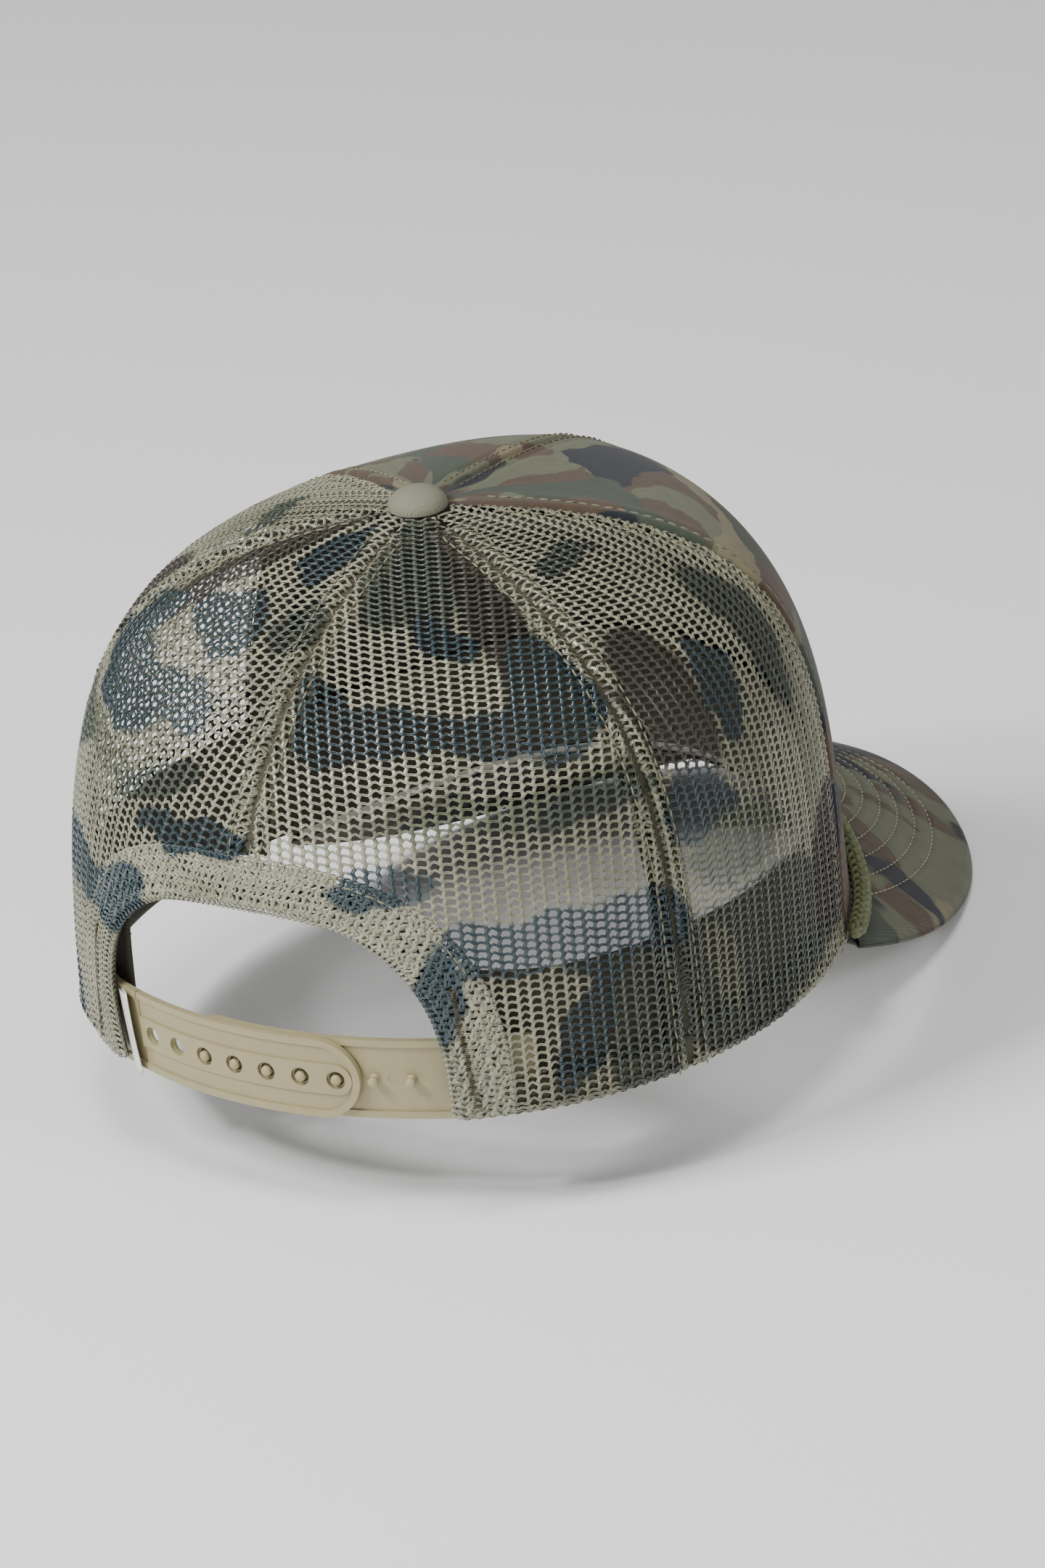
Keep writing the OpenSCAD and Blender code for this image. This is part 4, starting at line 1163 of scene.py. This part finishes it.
mesh_lines = [
    seam_line(seam, offset, 0.14, above_arch=seam == "back")
    for seam in MESH_SEAMS for offset in (-4.1, 4.1)
]
front_lines = [seam_line("front", offset, 0.1) for offset in (-2.4, 2.4)]
turns = np.linspace(0.03, math.pi - 0.03, 160)
angle, u = arch(turns, 9.3)
hem_line = (raised(angle, u, 0.42 + 0 * u), outward(angle, u))
stitch_row("seam_topstitch", mesh_lines, olive_thread)
stitch_row("front_topstitch", front_lines, dark_thread, Pitch=0.0026, Length=0.0021, Thickness=0.00042)
stitch_row("hem_topstitch", [hem_line], olive_thread, Pitch=0.0027)
visor_lines = []
for side in (1, -1):
    for row in ROWS_OF_STITCHES:
        turn = np.radians(np.linspace(-88, 88, 260))
        x, y = visor_edge(turn, row)
        free = (x / HALF_WIDTH) ** 2 + (y / FRONT) ** 2 > 1.03
        drop = VISOR_THICK / 2 - side * (VISOR_THICK / 2 - 0.30)
        line = np.stack([x, y, visor_height(x, y) - VISOR_GAP - drop], -1)[free] * MM
        tilt = np.stack([2 * visor_bend * x, 0 * x - VISOR_SLOPE, 1 + 0 * x], -1)[free] * side
        visor_lines.append((line, tilt / np.linalg.norm(tilt, axis=-1, keepdims=True)))
pale_thread = plain("pale_polyester_thread", dye("#96927c"), 0.5, 0.0004, 0.00004)
stitch_row("visor_stitches", visor_lines, pale_thread, Pitch=0.0027, Length=0.0023, Thickness=0.00045)
band_lines = []
for at in (0.1, 0.88):
    angle = np.linspace(band_right + 0.01, band_left - 0.01, 260)
    here = np.interp(angle, np.linspace(band_right, band_left, 200), top[0])
    depth = np.interp(angle, np.linspace(band_right, band_left, 200), inward[0])
    line = raised(angle, 0.004 + (here - 0.004) * at, -(depth + 1.35))
    band_lines.append((line, -outward(angle, here * at)))
stitch_row("sweatband_stitches", band_lines, olive_thread, Pitch=0.003)
for name in ("seam_topstitch", "front_topstitch", "hem_topstitch", "visor_stitches", "sweatband_stitches"):
    pieces[name] = (None, "thread")


# %% Tubes along a path, for bar tacks and yarns
def tube_mesh(name, paths, radius, sides, material):
    """One mesh of closed tubes, each along a path of points in metres."""
    points, faces = [], []
    turns = np.arange(sides) * 2 * math.pi / sides
    for path in paths:
        path = np.asarray(path)
        along = np.gradient(path, axis=0)
        along /= np.linalg.norm(along, axis=1, keepdims=True)
        side = np.cross(along, [0.31, 0.52, 0.79])
        side /= np.linalg.norm(side, axis=1, keepdims=True)
        other = np.cross(along, side)
        spokes = side[:, None] * np.cos(turns)[:, None] + other[:, None] * np.sin(turns)[:, None]
        rings = path[:, None] + radius * spokes
        start, count = len(points), len(path)
        points += rings.reshape(-1, 3).tolist()
        for i in range(count - 1):
            for k in range(sides):
                a, b = start + i * sides + k, start + i * sides + (k + 1) % sides
                faces.append((a, b, b + sides, a + sides))
        faces.append(tuple(start + k for k in reversed(range(sides))))
        faces.append(tuple(start + (count - 1) * sides + k for k in range(sides)))
    mesh = bpy.data.meshes.new(name)
    mesh.from_pydata(points, [], faces)
    mesh.materials.append(material)
    mesh.shade_smooth()
    return link(mesh, name)


for side, name in ((1, "left"), (-1, "right")):
    z = np.arange(2.0, 33.0, 0.28)
    zigzag = 0.6 * np.where(np.arange(len(z)) % 2, 1, -1)
    angle, u = on_back(side * (OPENING_WIDTH / 2 + 5 - z / 9) + zigzag, z)
    tube_mesh("tack_" + name, [raised(angle, u, 0.52 + 0 * u)], 0.00016, 4, dark_thread)
    pieces["tack_" + name] = ("bar_tack_" + name, "thread")
print("bar tacks of", len(z), "points each")

# %% [markdown]
# ## Rope
# The rope is a braid of eight yarns. Four wind one way round its middle line and
# four the other way, and each passes over one and under the next, because its
# distance from the middle line rises and falls between the crossings.

# %% Braided rope
ROPE, BRAID = 2.5, 13.0
angle = np.linspace(-math.radians(68.7), math.radians(68.7), 420)
path = crown(angle, 0) + (ROPE + 0.1) * outward(angle, 0 * angle) + [0, 0, ROPE + 0.2]
run = lengths(path[None], 1)[0]
side = outward(angle, 0 * angle + 0.02) * [1, 1, 0]
side /= np.linalg.norm(side, axis=1, keepdims=True)
ahead = np.gradient(path, axis=0)
ahead /= np.linalg.norm(ahead, axis=1, keepdims=True)
up = np.cross(side, ahead)
up /= np.linalg.norm(up, axis=1, keepdims=True)
end_fade = np.clip(np.minimum(run, run[-1] - run) / 3.0, 0.3, 1)
yarns = []
for way in (1, -1):
    for k in range(4):
        turn = way * 2 * math.pi * run / BRAID + k * math.pi / 2
        reach = (1.52 + way * 0.3 * np.cos(8 * math.pi * run / BRAID)) * end_fade
        spoke = side * np.cos(turn)[:, None] + up * np.sin(turn)[:, None]
        yarns.append((path + reach[:, None] * spoke) * MM)
tube_mesh("rope_yarns", yarns, 0.00072, 6, cord_yarn)
pieces["rope_yarns"] = ("front_rope", "braided_cord")
print("rope length", round(float(run[-1]), 1), "mm")


# %% [markdown]
# ## Care label
# A short satin ribbon, folded once, is caught in the hem beside the strap. Its
# two leaves spring slightly apart and lean towards the middle.

# %% Folded label
def turned(x=0.0, y=0.0, z=0.0):
    """A rotation about x, then y, then z, in degrees."""
    (cx, cy, cz), (sx, sy, sz) = np.cos(np.radians([x, y, z])), np.sin(np.radians([x, y, z]))
    about_x = np.array([[1, 0, 0], [0, cx, -sx], [0, sx, cx]])
    about_y = np.array([[cy, 0, sy], [0, 1, 0], [-sy, 0, cy]])
    return np.array([[cz, -sz, 0], [sz, cz, 0], [0, 0, 1]]) @ about_y @ about_x


LABEL_WIDE, LABEL_HIGH, SEWN = 4.4, 20.0, 1.6
foot_x = crown(*arch(np.array([0.0]), 0))[0, 0]
root = -math.degrees(math.asin((OPENING_WIDTH / 2 - LOBE - 2) / STRAP_RADIUS))
height = np.linspace(-9, 11, 30)[:, None]
fold = np.linspace(-1, 1, 25)[None, :]
out = (LABEL_WIDE + SEWN) * (1 - np.abs(fold))
x = SEWN - out
share_out = np.clip(out / (LABEL_WIDE + SEWN), 0, 1)
spread = 0.16 + 0.5 * share_out * (1 - share_out) * 2
z = 1.95 + np.sign(fold) * spread * np.minimum(1, (1 - np.abs(1 - np.abs(fold))) * 9)
z = z + 0.3 * np.sin((height + 9) / 20 * math.pi) * out / 6
local = np.stack([x + 0 * height, height + 0 * x, z + 0 * height], -1)
world_points = local @ turned(y=13, z=6).T @ turned(x=-90 - STRAP_LEAN).T
world_points = (world_points + [0, STRAP_RADIUS, STRAP_HEIGHT]) @ turned(z=root).T + [0, STRAP_CENTRE, 0]
flat = np.stack([fold * (LABEL_WIDE + SEWN) + 0 * height, height + 0 * fold], -1)
label = thick_sheet("satin_label", world_points * MM, flat, 0.12, ribbon)
pieces["satin_label"] = ("care_label", "satin")
print("label of", LABEL_HIGH, "by", 2 * (LABEL_WIDE + SEWN), "mm, folded")

# %% [markdown]
# ## Moulded parts, and the bodies that carry the pieces
# The straps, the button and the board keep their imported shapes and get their
# finishes. Every new piece is part of the cap, so it rides on that body.

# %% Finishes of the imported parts
FINISHES = {
    "holed_strap": polyethylene, "peg_strap": polyethylene, "holed_strap_tab": polyethylene,
    "peg_strap_tab": polyethylene, "visor_board": board_stock,
    "button_cover": button_twill, "button_back": painted_steel,
}
for node, material in FINISHES.items():
    for material_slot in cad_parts[node].material_slots:
        material_slot.material = material

# %% Bodies and replaced solids
for name, (node, slot) in pieces.items():
    piece = bpy.data.objects[name]
    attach(piece, "cap")
    if node:
        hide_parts(node)
